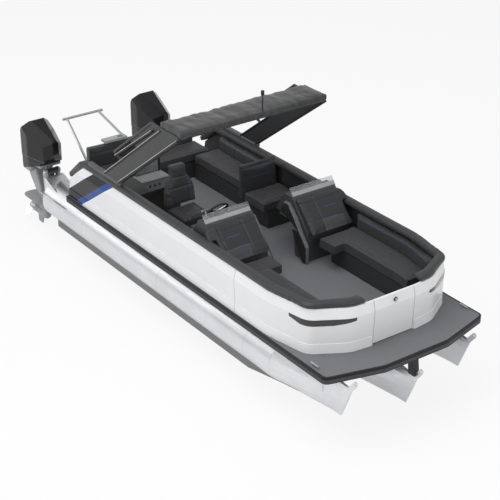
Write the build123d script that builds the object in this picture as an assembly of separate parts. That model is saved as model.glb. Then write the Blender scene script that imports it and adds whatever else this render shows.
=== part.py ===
"""A three-tube pontoon boat with twin outboard engines.

Millimetres. +X points to the bow, +Y to port, +Z up. The origin lies amidships on the waterline.
"""
from build123d import *
import os
from math import atan2, cos, degrees, radians, sin

# Deck
DECK_TOP = 500
DECK_THICK = 30
BOW_X = 4000
BOW_HALF = 512
CORNER_X = 3792
HALF_BEAM = 1295
CORNER_ROUND = 90
STERN_X = -2470
FASCIA_WALL = 25
FASCIA_HIGH = 95

# Pontoon tubes
TUBE_R = 305
TUBE_IN = 325
TUBE_Y = HALF_BEAM - TUBE_IN
TUBE_Z = 75
CENTRE_DROP = 135
CENTRE_LEAD = 95
TUBE_AFT_X = -3300
NOSE_X = 2650
NOSE_FACETS = 16
STEM_TOP = (3935, 301)
STEM_FOOT = (3736, -183)
STEM_HALF = 12
STRAKE_HIGH = 120
STRAKE_OUT = 240
STRAKE_X = (-2955, 2110)
STRAKE_TIP_X = 2780
STRAKE_TIP_OUT = 175
STRAKE_TIP_HIGH = 40
EYE_HOLE_R = 16
EYE_R = 34
EYE_THICK = 14
EYE_REACH = 48
EYE_RISE = 96
EYE_WEB = 90
EYE_SUNK = 20

# Frames under the deck
CHANNEL_HIGH = 60
CHANNEL_WIDE = 60
CHANNEL_FIRST_X = -2300
CHANNEL_STEP = 640
CHANNEL_COUNT = 10
RISER_HALF = 110
BRACKET_X = (3860, 3970)
BRACKET_REACH = 30
BRACKET_HALF = 42
CLEAT_X = 3515
CLEAT_IN = 70
CLEAT_Y = HALF_BEAM - CLEAT_IN
CLEAT_LONG = 150
CLEAT_HIGH = 42
CLEAT_R = 11

# Fence and its padded top
FENCE_IN = 37
FENCE_HALF = HALF_BEAM - FENCE_IN
FENCE_FRONT_X = 3540
FENCE_WALL = 60
FENCE_TOP = 615
FENCE_PAST = 700
SKIRT_HIGH = 130
SKIRT_TOP_IN = 8
FACE_FOOT_IN = 20
BEVEL_FOOT = 480
BEVEL_IN = 30
FENCE_AFT_TOP_X = -2000
FENCE_AFT_KNEE = (-2400, 300)
FENCE_AFT_FOOT_X = -2440
GATE_HALF = 320
GATE_GAP = 8
GATE_LIFT = 12
SKIRT_END_Y = 345
HINGE_PIN_R = 6
HINGE_BARREL_R = 13
HINGE_LEAF = 60
HINGE_LONG = 40
HINGE_RUN = 0.05
HINGE_SPACE = 0.4
HINGE_LIFTS = (160, 460)
LATCH_R = 22
LATCH_OUT = 9
LATCH_Z = 548
BOLSTER_WIDE = 172
BOLSTER_OVER = 4
BOLSTER_HIGH = 75
BOLSTER_END_Y = 440
BOLSTER_AFT_TOP_X = -2110
BOLSTER_AFT_TIP = (-2430, 390)
BOLSTER_EASE_HIGH = 26
BOLSTER_EASE_IN = 24
LAMP_Z = (388, 474)
LAMP_PROUD = 3
LAMP_DEEP = 14
LAMP_Y = (FENCE_HALF - 668, FENCE_HALF - 400)
LAMP_X = (FENCE_FRONT_X - 600, FENCE_FRONT_X - 430)

# Consoles and their screens
CONSOLE_SIDE_GAP = 173
CONSOLE_Y = (335, FENCE_HALF - CONSOLE_SIDE_GAP)
CONSOLE_TOP = 850
CONSOLE_FRONT_TOP_X = 1000
CONSOLE_FRONT_FOOT_X = 1470
CONSOLE_AFT_X = 620
DASH_FOOT = 560
DASH_DEPTH = 120
WHEEL_UP_DASH = 0.55
SCREEN_RISE = 105
SCREEN_RAKE = 70
SCREEN_THICK = 14
SCREEN_FOOT = 40
SCREEN_SIDE_IN = 20
SIDE_PAD_THICK = 60
SIDE_PAD_TOP = 800
SIDE_PAD_FOOT = 350

# Seating
SEAT_TOP = 420
SEAT_THICK = 150
SEAT_LIP = 40
SEAT_FRONT_Y = 590
SEAT_WING_Y = 410
SEAT_WING_LONG = 330
SEAT_GAP = 2
BACK_THICK = 130
PAD_RISE = 185
WALL_GAP = 1
BOW_SEAT_FRONT_X = 3120
BOW_BACK_HEAD = 60
BOW_BACK_GAP = 6
BOW_BACK_WING = 105
BOW_BACK_SHOULDER = 140
BOW_BACK_CORNER = 45
COMPANION_X = (-300, 240)
COMPANION_Y = (410, FENCE_HALF - CONSOLE_SIDE_GAP)
COMPANION_BASE_IN = 110
COMPANION_BACK_TOP = 820
COMPANION_LEAN = 50
SIDE_SEAT_X = (-1850, -440)
AFT_SEAT_X = (-2330, -1860)
AFT_BACK_TOP = 735
AFT_SIDE_GAP = 298
AFT_HALF = FENCE_HALF - AFT_SIDE_GAP
TRAY_THICK = 36
TRAY_Y = (-650, -265)
CUP_R = 45

# Counter behind the captain's chair
COUNTER_X = (-1300, -760)
COUNTER_Y = (CONSOLE_SIDE_GAP - FENCE_HALF, -350)
COUNTER_TOP = 610
COUNTER_SLAB = 40
COUNTER_OVER = 15
POST_R = 14
POST_HIGH = 290
GLASS_THICK = 8
GLASS_LONG = 400

# Captain's chair
CHAIR_X = -100
CHAIR_Y = -620
CHAIR_SEAT = (370, 500)
CHAIR_HALF = 250
CHAIR_DEPTH = 500
CHAIR_TOP = 1170
CHAIR_SHOULDER = 1000
CHAIR_HEAD_HALF = 110
CHAIR_BACK_HALF = 240
CHAIR_BACK_THICK = 110
CHAIR_BACK_FORE = 60
CHAIR_LEAN = 7
CHAIR_ROUND = 35
PEDESTAL_R = 45
PEDESTAL_FOOT_R = 160
PEDESTAL_FOOT_HIGH = 18
SWIVEL_SPACE = 0.4

# Steering wheel
WHEEL_Y = -660
WHEEL_R = 180
WHEEL_RIM_R = 15
WHEEL_HUB_R = 38
WHEEL_HUB_LONG = 46
WHEEL_STAND_OFF = 70
SPOKE_WIDE = 34
SPOKE_THICK = 12
SHAFT_R = 16
SHAFT_SUNK = 30

# Arch, canopy and pole
ARCH_IN = 38
ARCH_HALF = FENCE_HALF - ARCH_IN
ARCH_WALL = 60
ARCH_FOOT_X = (-1860, -990)
ARCH_FOOT_HIGH = 60
LEG_FOOT_X = (-1400, -990)
LEG_TOP_X = (140, 576)
LEG_TOP_Z = 1925
BAR_FOOT = (-1120, 1177)
BAR_TIE = (-870, 1100)
BAR_TOP_Z = 1950
BAR_R = 20
MESH_FOOT_Z = 1500
MESH_WIDE = 260
MESH_DROP = 60
MESH_THICK = 10
BEAM_HIGH = 50
CANOPY_X = (94, 652)
CANOPY_OVER = 10
CANOPY_HALF = ARCH_HALF + CANOPY_OVER
CANOPY_Z = (1940, 2045)
CANOPY_ROUND = 25
POLE_X = 610
POLE_Y = 108
POLE_R = 9
POLE_HIGH = 290
POLE_LAMP_R = 24
POLE_LAMP_HIGH = 60

# Stern: platform, pods and tow bar
PLATFORM_AFT_X = -3250
PLATFORM_HALF = 600
PLATFORM_TOP = 480
PLATFORM_THICK = 70
PLATFORM_ROUND = 90
POD_PAST = 100
POD_LONG = 800
POD_AFT_X = TUBE_AFT_X - POD_PAST
POD_FRONT_X = POD_AFT_X + POD_LONG
POD_HALF = 160
POD_TOP = 425
POD_SHOULDER = 335
POD_SHOULDER_LONG = 230
POD_LIP = 70
POD_FOOT = 235
POD_HEEL = 275
POD_HEEL_LONG = 100
LEDGE_Z = 210
LEDGE_THICK = 12
LEDGE_HALF = 265
TOW_TOP = (-4190, 940)
TOW_FOOT_X = -3160
TOW_HALF = 290
TOW_FOOT_HALF = 480
TOW_OVER = 80
TOW_R = 22
TOW_FLANGE = 10
TOW_SUNK = 40

# Outboard engines: brackets
ENGINE_OUT = 40
ENGINE_Y = TUBE_Y + ENGINE_OUT
TILT_BACK = 40
TILT_X = POD_AFT_X - TILT_BACK
TILT_Z = 480
TILT_R = 24
TILT_WALL = 26
TILT_RUN = 0.06
CLAMP_GAP = 0.4
CLAMP_WALL = 40
CLAMP_HALF = 130
CLAMP_CHEEK = 40
CLAMP_FOOT = 500
CLAMP_FOOT_DEEP = 60
STEER_BACK = 160
STEER_X = TILT_X - STEER_BACK
STEER_R = 40
STEER_WALL = 24
STEER_RUN = 0.08
SWIVEL_HALF = 40
SWIVEL_Z = (60, 420)

# Outboard engines: cowl, pan and powerhead, measured from the steering axis and the pan's top
COWL_FOOT_Z = 640
COWL_WALL = 8
# Columns: distance ahead of the steering axis, height over the pan, corner radius.
COWL_SIDE = (
    (200, 0, 0),
    (330, 180, 60),
    (345, 400, 50),
    (-225, 595, 50),
    (-360, 425, 150),
    (-435, 160, 150),
    (-410, 0, 0),
)
# Columns: distance ahead of the steering axis, half breadth, corner radius.
COWL_PLAN = (
    (340, 50, 40),
    (230, 160, 90),
    (-150, 245, 250),
    (-400, 235, 90),
    (-440, 140, 60),
)
# Three points of the shoulder plane: distance ahead of the steering axis, half breadth, height over the pan.
COWL_SHOULDER = (
    (-225, 110, 595),
    (345, 25, 400),
    (-225, 195, 490),
)
PAN_IN = 6
PAN_RAKE = 90
PAN_LOW_Z = 430
PAN_FORE = 130
PAN_THROAT = 120
PAN_THROAT_Z = 550
PAN_SLOPE = 40
MOUTH_IN = 24
POWERHEAD_X = (-370, -60)
POWERHEAD_HALF = 130
POWERHEAD_HIGH = 360

# Outboard engines: leg and propeller, measured from the steering axis
LEG_HALF = 60
LEG_TOP_HALF = 165
LEG_FOOT_HALF = 45
LEG_FORE = 80
LEG_AFT_TOP = 400
LEG_AFT_FOOT = 240
LEG_ROUND = 24
YOKE_DROP = 40
YOKE_HIGH = 40
NECK_HALF = 30
NECK_IN = 40
NECK_AFT = 360
PLATE_Z = -160
PLATE_THICK = 14
PLATE_HALF = 150
PLATE_X = (-650, -100)
PLATE_ROUND = 120
GEAR_Z = -385
GEAR_R = 66
GEAR_X = (-430, -40)
SKEG_FOOT = -595
SKEG_HALF = 8
SKEG_FORE = (150, 230)
SKEG_AFT = (20, 40)
PROP_R = 185
PROP_HUB_R = 52
PROP_X = (-600, -436)
PROP_SHAFT_R = 14
PROP_SHAFT_SHORT = 20
PROP_RUN = 0.06
BLADE_COUNT = 3
BLADE_THICK = 10
BLADE_CHORD = 130
BLADE_SUNK = 14
BLADE_PITCH = 34

SIDES = (("starboard", -1), ("port", 1))


def block(x0, x1, y0, y1, z0, z1):
    """Block between two opposite corners."""
    middle = Pos((x0 + x1) / 2, (y0 + y1) / 2, (z0 + z1) / 2)
    return middle * Box(abs(x1 - x0), abs(y1 - y0), abs(z1 - z0))


def soft(x0, x1, y0, y1, z0, z1, radius):
    """Block with all its edges rounded."""
    solid = block(x0, x1, y0, y1, z0, z1)
    return fillet(solid.edges(), radius)


def across(points, y0, y1):
    """Side outline of (x, z) points, extruded from y0 to y1."""
    low, high = sorted((y0, y1))
    plane = Plane(origin=(0, high, 0), x_dir=(1, 0, 0), z_dir=(0, -1, 0))
    return extrude(plane * make_face(Polyline(*points, close=True)), high - low)


def along(points, x0, x1):
    """Cross section of (y, z) points, extruded from x0 to x1."""
    plane = Plane(origin=(x0, 0, 0), x_dir=(0, 1, 0), z_dir=(1, 0, 0))
    return extrude(plane * make_face(Polyline(*points, close=True)), x1 - x0)


def upright(face, z0, z1):
    """Plan face raised from z0 to z1."""
    return extrude(Pos(0, 0, z0) * face, z1 - z0)


def rod(start, end, radius):
    """Round bar between two points."""
    a = Vector(*start)
    b = Vector(*end)
    return extrude(Plane(origin=a, z_dir=b - a) * Circle(radius), (b - a).length)


def pair(low, high, side):
    """Two distances from the centreline, placed on one side and put in rising order."""
    return sorted((side * low, side * high))


def rounded(points, radii):
    """Flat face through the points, with each corner rounded by its own radius."""
    face = make_face(Polyline(*points, close=True))
    for (x, y), radius in zip(points, radii):
        if radius:
            near = face.vertices().sort_by_distance((x, y, 0))[0]
            face = fillet(near, radius)
    return face


def keep(name, *pieces):
    """Write one node, fusing the pieces that touch."""
    solid = pieces[0]
    for piece in pieces[1:]:
        solid = solid + piece
    export_step(solid, f"parts/{name}.step")
    return solid


def deck_plan(inset):
    """Deck outline in plan, inset from the fascia's outer face."""
    corners = (
        (STERN_X, -HALF_BEAM),
        (CORNER_X, -HALF_BEAM),
        (BOW_X, -BOW_HALF),
        (BOW_X, BOW_HALF),
        (CORNER_X, HALF_BEAM),
        (STERN_X, HALF_BEAM),
    )
    radii = (0, CORNER_ROUND, CORNER_ROUND, CORNER_ROUND, CORNER_ROUND, 0)
    face = rounded(corners, radii)
    if inset:
        face = offset(face, amount=-inset)
    return face


def fence_plan(inset):
    """Fence outline in plan, inset from its outer face; the sides run straight past the stern."""
    # Columns: distance aft of the gate's front face, breadth lost from the half beam, corner radius.
    table = (
        (960, 0, 1400),
        (310, 120, 230),
        (30, 590, 420),
    )
    half = [(FENCE_FRONT_X - back, FENCE_HALF - lost, radius) for back, lost, radius in table]
    hinge_y = GATE_HALF + HINGE_LEAF
    past = STERN_X - FENCE_PAST
    starboard = [(past, -FENCE_HALF, 0)] + [(x, -y, r) for x, y, r in half] + [(FENCE_FRONT_X, -hinge_y, 0)]
    port = [(x, -y, r) for x, y, r in reversed(starboard)]
    corners = starboard + port
    face = rounded([(x, y) for x, y, r in corners], [r for x, y, r in corners])
    if inset:
        face = offset(face, amount=-inset)
    return face


def slab(z0, z1, low_inset, high_inset):
    """Fence outline raised from z0 to z1, with its inset changing on the way."""
    lean = degrees(atan2(high_inset - low_inset, z1 - z0))
    return extrude(Pos(0, 0, z0) * fence_plan(low_inset), z1 - z0, taper=lean)


def channel_places():
    """Where the cross channels lie along the deck."""
    return [CHANNEL_FIRST_X + CHANNEL_STEP * i for i in range(CHANNEL_COUNT)]


def nose(y, drop, lead):
    """Faceted nose from the tube's round to the raked stem."""
    z = TUBE_Z - drop
    top_x, top_z = STEM_TOP
    foot_x, foot_z = STEM_FOOT
    angles = [360 / NOSE_FACETS * i for i in range(NOSE_FACETS)]
    round_points = [(y + TUBE_R * cos(radians(a)), z + TUBE_R * sin(radians(a))) for a in angles]
    start = Plane(origin=(NOSE_X + lead, 0, 0), x_dir=(0, 1, 0), z_dir=(1, 0, 0))
    back = start * make_face(Polyline(*round_points, close=True))
    rise = top_z - foot_z
    stem_long = ((top_x - foot_x) ** 2 + rise ** 2) ** 0.5
    stem_plane = Plane(
        origin=((top_x + foot_x) / 2 + lead, y, (top_z + foot_z) / 2 - drop),
        x_dir=(0, 1, 0),
        z_dir=(rise, 0, foot_x - top_x),
    )
    stem_points = [(STEM_HALF * cos(radians(a)), stem_long / 2 * sin(radians(a))) for a in angles]
    front = stem_plane * make_face(Polyline(*stem_points, close=True))
    return loft([back, front], ruled=True)


def strake(y, side, drop, lead):
    """Lifting strake that squares one lower corner of a tube and tapers off forward."""
    x0, x1 = STRAKE_X
    low = TUBE_Z - TUBE_R - drop
    high = low + STRAKE_HIGH
    outline = (
        (x0 + lead, 0),
        (x0 + lead, STRAKE_OUT),
        (x1 + lead, STRAKE_OUT),
        (STRAKE_TIP_X + lead, STRAKE_TIP_OUT),
        (STRAKE_TIP_X + lead, 0),
    )
    plan = make_face(Polyline(*[(px, y + side * py) for px, py in outline], close=True))
    profile = (
        (x0 + lead, low),
        (x1 + lead, low),
        (STRAKE_TIP_X + lead, high - STRAKE_TIP_HIGH),
        (STRAKE_TIP_X + lead, high),
        (x0 + lead, high),
    )
    return upright(plan, low, high) & across(profile, *sorted((y, y + 2 * side * STRAKE_OUT)))


def pontoon(y, drop, lead):
    """One tube with its nose, lifting strakes, bow eye and risers."""
    z = TUBE_Z - drop
    solid = rod((TUBE_AFT_X + lead, y, z), (NOSE_X + lead, y, z), TUBE_R) + nose(y, drop, lead)
    for side in (-1, 1):
        solid += strake(y, side, drop, lead)
    top_x = STEM_TOP[0] + lead
    top_z = STEM_TOP[1] - drop
    eye_x = top_x + EYE_REACH
    eye_z = top_z + EYE_RISE
    y0, y1 = y - EYE_THICK / 2, y + EYE_THICK / 2
    eye = rod((eye_x, y0, eye_z), (eye_x, y1, eye_z), EYE_R)
    web = across(
        (
            (top_x - EYE_WEB, top_z - EYE_SUNK),
            (top_x, top_z - EYE_SUNK),
            (eye_x + EYE_R * 0.8, eye_z - EYE_R * 0.6),
            (eye_x - EYE_R * 0.8, eye_z + EYE_R * 0.6),
        ),
        y0,
        y1,
    )
    hole = rod((eye_x, y - EYE_THICK, eye_z), (eye_x, y + EYE_THICK, eye_z), EYE_HOLE_R)
    solid = solid + eye + web - hole
    under = DECK_TOP - DECK_THICK - CHANNEL_HIGH
    half = CHANNEL_WIDE / 2
    for x in channel_places():
        solid += block(x - half, x + half, y - RISER_HALF, y + RISER_HALF, z, under)
    return solid


def hull():
    """Tubes, frames, deck, fascia, nose bracket, cleats, platform and motor pods."""
    tubes = {}
    for name, side in SIDES:
        tubes[name] = keep(f"pontoon_{name}", pontoon(side * TUBE_Y, 0, 0))
    centre = keep("pontoon_centre", pontoon(0, CENTRE_DROP, CENTRE_LEAD))
    inner = HALF_BEAM - FASCIA_WALL
    top = DECK_TOP - DECK_THICK
    half = CHANNEL_WIDE / 2
    channels = Part()
    for x in channel_places():
        channels += block(x - half, x + half, -inner, inner, top - CHANNEL_HIGH, top)
    keep("cross_channels", channels)
    keep("deck", upright(deck_plan(FASCIA_WALL), top, DECK_TOP))
    band = deck_plan(0) - deck_plan(FASCIA_WALL)
    keep("edge_fascia", upright(band, DECK_TOP - FASCIA_HIGH, DECK_TOP))
    stem_z = STEM_TOP[1] - CENTRE_DROP
    bracket = across(
        (
            (BRACKET_X[0], top),
            (BRACKET_X[1], top),
            (BRACKET_X[1], DECK_TOP - FASCIA_HIGH),
            (BRACKET_X[1] + BRACKET_REACH, stem_z),
            (BRACKET_X[0] + BRACKET_REACH, stem_z),
            (BRACKET_X[0], DECK_TOP - FASCIA_HIGH),
        ),
        -BRACKET_HALF,
        BRACKET_HALF,
    )
    keep("nose_bracket", bracket - centre)
    cleats = Part()
    for name, side in SIDES:
        y = side * CLEAT_Y
        bar_z = DECK_TOP + CLEAT_HIGH - CLEAT_R
        cleat = rod((CLEAT_X - CLEAT_LONG / 2, y, bar_z), (CLEAT_X + CLEAT_LONG / 2, y, bar_z), CLEAT_R)
        for step in (-1, 1):
            foot_x = CLEAT_X + step * CLEAT_LONG / 5
            cleat += rod((foot_x, y, DECK_TOP), (foot_x, y, bar_z), CLEAT_R)
        cleats += cleat
    keep("cleats", cleats)
    low = PLATFORM_TOP - PLATFORM_THICK
    platform = block(PLATFORM_AFT_X, STERN_X, -PLATFORM_HALF, PLATFORM_HALF, low, PLATFORM_TOP)
    aft_corners = platform.edges().filter_by(Axis.Z).sort_by(Axis.X)[:2]
    keep("swim_platform", fillet(aft_corners, PLATFORM_ROUND))
    pods = Part()
    for name, side in SIDES:
        y = ENGINE_Y * side
        pod = across(
            (
                (POD_FRONT_X, LEDGE_Z + LEDGE_THICK),
                (POD_AFT_X + POD_SHOULDER_LONG + POD_LIP, POD_SHOULDER),
                (POD_AFT_X + POD_LIP, POD_TOP),
                (POD_AFT_X, POD_TOP),
                (POD_AFT_X, POD_TOP - POD_FOOT - POD_HEEL),
                (POD_AFT_X + POD_HEEL_LONG, TUBE_Z - TUBE_R + POD_LIP),
                (POD_FRONT_X, TUBE_Z),
            ),
            y - POD_HALF,
            y + POD_HALF,
        )
        ledge = block(POD_AFT_X, POD_FRONT_X, y - LEDGE_HALF, y + LEDGE_HALF, LEDGE_Z, LEDGE_Z + LEDGE_THICK)
        pods += pod + ledge - tubes[name]
    keep("motor_pods", pods)


def hinges(floor):
    """Gate hinges: the fixed barrels with their pins, the moving barrels and the bores for the pins."""
    x = FENCE_FRONT_X - FENCE_WALL - HINGE_BARREL_R
    y = GATE_HALF + GATE_GAP / 2
    fixed = Part()
    moving = Part()
    bores = Part()
    for lift in HINGE_LIFTS:
        low = floor + lift
        middle = low + HINGE_LONG
        upper = middle + HINGE_SPACE
        high = upper + HINGE_LONG
        fixed += rod((x, y, low), (x, y, middle), HINGE_BARREL_R)
        fixed += block(x, x + HINGE_BARREL_R, y, y + HINGE_LEAF, low, middle)
        fixed += rod((x, y, low), (x, y, high), HINGE_PIN_R)
        moving += rod((x, y, upper), (x, y, high), HINGE_BARREL_R)
        moving += block(x, x + HINGE_BARREL_R, y - HINGE_LEAF, y, upper, high)
        bores += rod((x, y, middle), (x, y, high + HINGE_SPACE), HINGE_PIN_R + HINGE_RUN)
    return fixed, moving, bores


def padded_top(top):
    """Padded top all round, with its upper edges eased in two steps."""
    low = DECK_TOP + FENCE_AFT_KNEE[1]
    high = top + BOLSTER_HIGH
    # Columns: height below the top of the pad, inset there.
    ease, inward = BOLSTER_EASE_HIGH, BOLSTER_EASE_IN
    steps = ((high - low, 0), (ease, 0), (0.3 * ease, 0.35 * inward), (0, inward))
    outer = Part()
    inner = Part()
    for (drop0, in0), (drop1, in1) in zip(steps, steps[1:]):
        outer += slab(high - drop0, high - drop1, in0 - BOLSTER_OVER, in1 - BOLSTER_OVER)
        inner += slab(high - drop0, high - drop1, BOLSTER_WIDE - in0, BOLSTER_WIDE - in1)
    return outer - inner


def fence():
    """Fence panels, padded tops, bow lamps and the bow gate."""
    floor = DECK_TOP
    bevel = floor + BEVEL_FOOT
    top = floor + FENCE_TOP
    knee_x, knee_rise = FENCE_AFT_KNEE
    reach = HALF_BEAM
    face = slab(floor, bevel, FACE_FOOT_IN, 0) + slab(bevel, top, 0, BEVEL_IN)
    skirt = slab(floor, floor + SKIRT_HIGH, 0, SKIRT_TOP_IN)
    room = upright(fence_plan(FENCE_WALL), floor, top)
    side_shape = (
        (BOW_X, floor),
        (BOW_X, top),
        (FENCE_AFT_TOP_X, top),
        (knee_x, floor + knee_rise),
        (FENCE_AFT_FOOT_X, floor + SKIRT_HIGH),
        (FENCE_AFT_FOOT_X, floor),
    )
    skirt_slot = block(CORNER_X - FENCE_FRONT_X, BOW_X, -SKIRT_END_Y, SKIRT_END_Y, floor, top)
    wall = (face + (skirt - skirt_slot) - room) & across(side_shape, -reach, reach)
    pad_shape = (
        (BOW_X, top),
        (BOW_X, top + BOLSTER_HIGH),
        (BOLSTER_AFT_TOP_X, top + BOLSTER_HIGH),
        (BOLSTER_AFT_TIP[0], floor + BOLSTER_AFT_TIP[1]),
        (knee_x, floor + knee_rise),
        (FENCE_AFT_TOP_X, top),
    )
    pad = padded_top(top) & across(pad_shape, -reach, reach)
    pad -= block(0, BOW_X, -BOLSTER_END_Y, BOLSTER_END_Y, top, top + BOLSTER_HIGH)
    fixed, moving, bores = hinges(floor)
    gate_slot = block(0, BOW_X, -GATE_HALF - GATE_GAP, GATE_HALF + GATE_GAP, floor, top)
    low, high = floor + LAMP_Z[0], floor + LAMP_Z[1]
    middle = (low + high) / 2
    band = slab(low, high, FACE_FOOT_IN * (1 - LAMP_Z[0] / BEVEL_FOOT) - LAMP_PROUD, -LAMP_PROUD)
    band -= upright(fence_plan(LAMP_DEEP), low, high)
    lamps = Part()
    for name, side in SIDES:
        front_view = ((LAMP_Y[0], middle), (LAMP_Y[1], low), (reach, low), (reach, high), (LAMP_Y[0], high))
        wedge = along([(side * y, z) for y, z in front_view], LAMP_X[0], BOW_X)
        side_view = ((LAMP_X[0], middle), (LAMP_X[1], low), (BOW_X, low), (BOW_X, high), (LAMP_X[0], high))
        lamps += band & wedge & across(side_view, *pair(0, reach, side))
    keep("bow_lamps", lamps)
    for name, side in SIDES:
        half = block(STERN_X - FENCE_PAST, BOW_X, *pair(0, reach, side), floor, top + BOLSTER_HIGH)
        panel = (wall - gate_slot - lamps) & half
        if side > 0:
            panel += fixed
        keep(f"fence_{name}", panel)
        keep(f"bolster_{name}", pad & half)
    opening = block(0, BOW_X, -GATE_HALF, GATE_HALF, floor + GATE_LIFT, top)
    latch_z = floor + LATCH_Z
    face_x = FENCE_FRONT_X - BEVEL_IN
    latch = rod((face_x, 0, latch_z), (FENCE_FRONT_X + LATCH_OUT, 0, latch_z), LATCH_R)
    keep("bow_gate", (wall & opening) + moving - bores + latch)


def consoles():
    """Helm and port consoles with their low screens and side pads."""
    floor = DECK_TOP
    top = floor + CONSOLE_TOP
    front_foot = CONSOLE_FRONT_FOOT_X - BACK_THICK
    front_top = CONSOLE_FRONT_TOP_X - SCREEN_THICK
    elbow = floor + DASH_FOOT
    knee = (CONSOLE_FRONT_TOP_X, elbow - SEAT_LIP)
    foot_x = CONSOLE_FRONT_FOOT_X - SEAT_LIP
    screens = Part()
    pads = Part()
    for name, side in SIDES:
        outline = (
            knee,
            (foot_x - SIDE_PAD_FOOT, floor),
            (front_foot, floor),
            (front_foot, floor + SEAT_TOP),
            (front_top, top),
            (CONSOLE_FRONT_TOP_X - SCREEN_RAKE - DASH_DEPTH, top),
            (CONSOLE_AFT_X, elbow),
        )
        body = across(outline, *pair(*CONSOLE_Y, side))
        if side < 0:
            body += wheel_shaft()
        keep("helm_console" if side < 0 else "port_console", body)
        screens += across(
            (
                (front_top - SCREEN_FOOT, top),
                (front_top - SEAT_GAP, top),
                (front_top - SCREEN_RAKE, top + SCREEN_RISE),
                (front_top - SCREEN_THICK - SCREEN_RAKE, top + SCREEN_RISE),
            ),
            *pair(CONSOLE_Y[0] + SCREEN_SIDE_IN, CONSOLE_Y[1], side),
        )
        pad_top = floor + SIDE_PAD_TOP
        pads += across(
            (
                (CONSOLE_AFT_X + DASH_DEPTH, elbow),
                (CONSOLE_FRONT_TOP_X - DASH_DEPTH, pad_top),
                (CONSOLE_FRONT_TOP_X, pad_top),
                (foot_x, floor + SEAT_TOP - SEAT_THICK),
                (foot_x, floor),
                (foot_x - SIDE_PAD_FOOT, floor),
                knee,
            ),
            *pair(CONSOLE_Y[0] - SIDE_PAD_THICK, CONSOLE_Y[0], side),
        )
    keep("console_screens", screens)
    keep("console_side_pads", pads)


def wheel_frame():
    """Foot of the steering wheel's axis on the dash, and its direction square to the dash."""
    rise = CONSOLE_TOP - DASH_FOOT
    run = CONSOLE_FRONT_TOP_X - SCREEN_RAKE - DASH_DEPTH - CONSOLE_AFT_X
    foot_x = CONSOLE_AFT_X + run * WHEEL_UP_DASH
    foot_z = DECK_TOP + DASH_FOOT + rise * WHEEL_UP_DASH
    return Vector(foot_x, WHEEL_Y, foot_z), Vector(-rise, 0, run).normalized()


def wheel_shaft():
    """Stub that carries the steering wheel."""
    foot, normal = wheel_frame()
    start = foot - normal * SHAFT_SUNK
    end = foot + normal * (WHEEL_STAND_OFF - SWIVEL_SPACE)
    return rod(tuple(start), tuple(end), SHAFT_R)


def steering_wheel():
    """Rim, hub and three spokes."""
    foot, normal = wheel_frame()
    base = Plane(origin=foot + normal * WHEEL_STAND_OFF, x_dir=(0, 1, 0), z_dir=normal)
    reach = WHEEL_R - WHEEL_RIM_R
    wheel = extrude(Circle(WHEEL_HUB_R), WHEEL_HUB_LONG)
    wheel += Pos(0, 0, WHEEL_HUB_LONG) * Torus(reach, WHEEL_RIM_R)
    for turn in (90, 210, 330):
        spoke = Pos(reach / 2, 0, WHEEL_HUB_LONG - SPOKE_THICK / 2) * Box(reach, SPOKE_WIDE, SPOKE_THICK)
        wheel += Rot(0, 0, turn) * spoke
    keep("steering_wheel", base * wheel)


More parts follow.
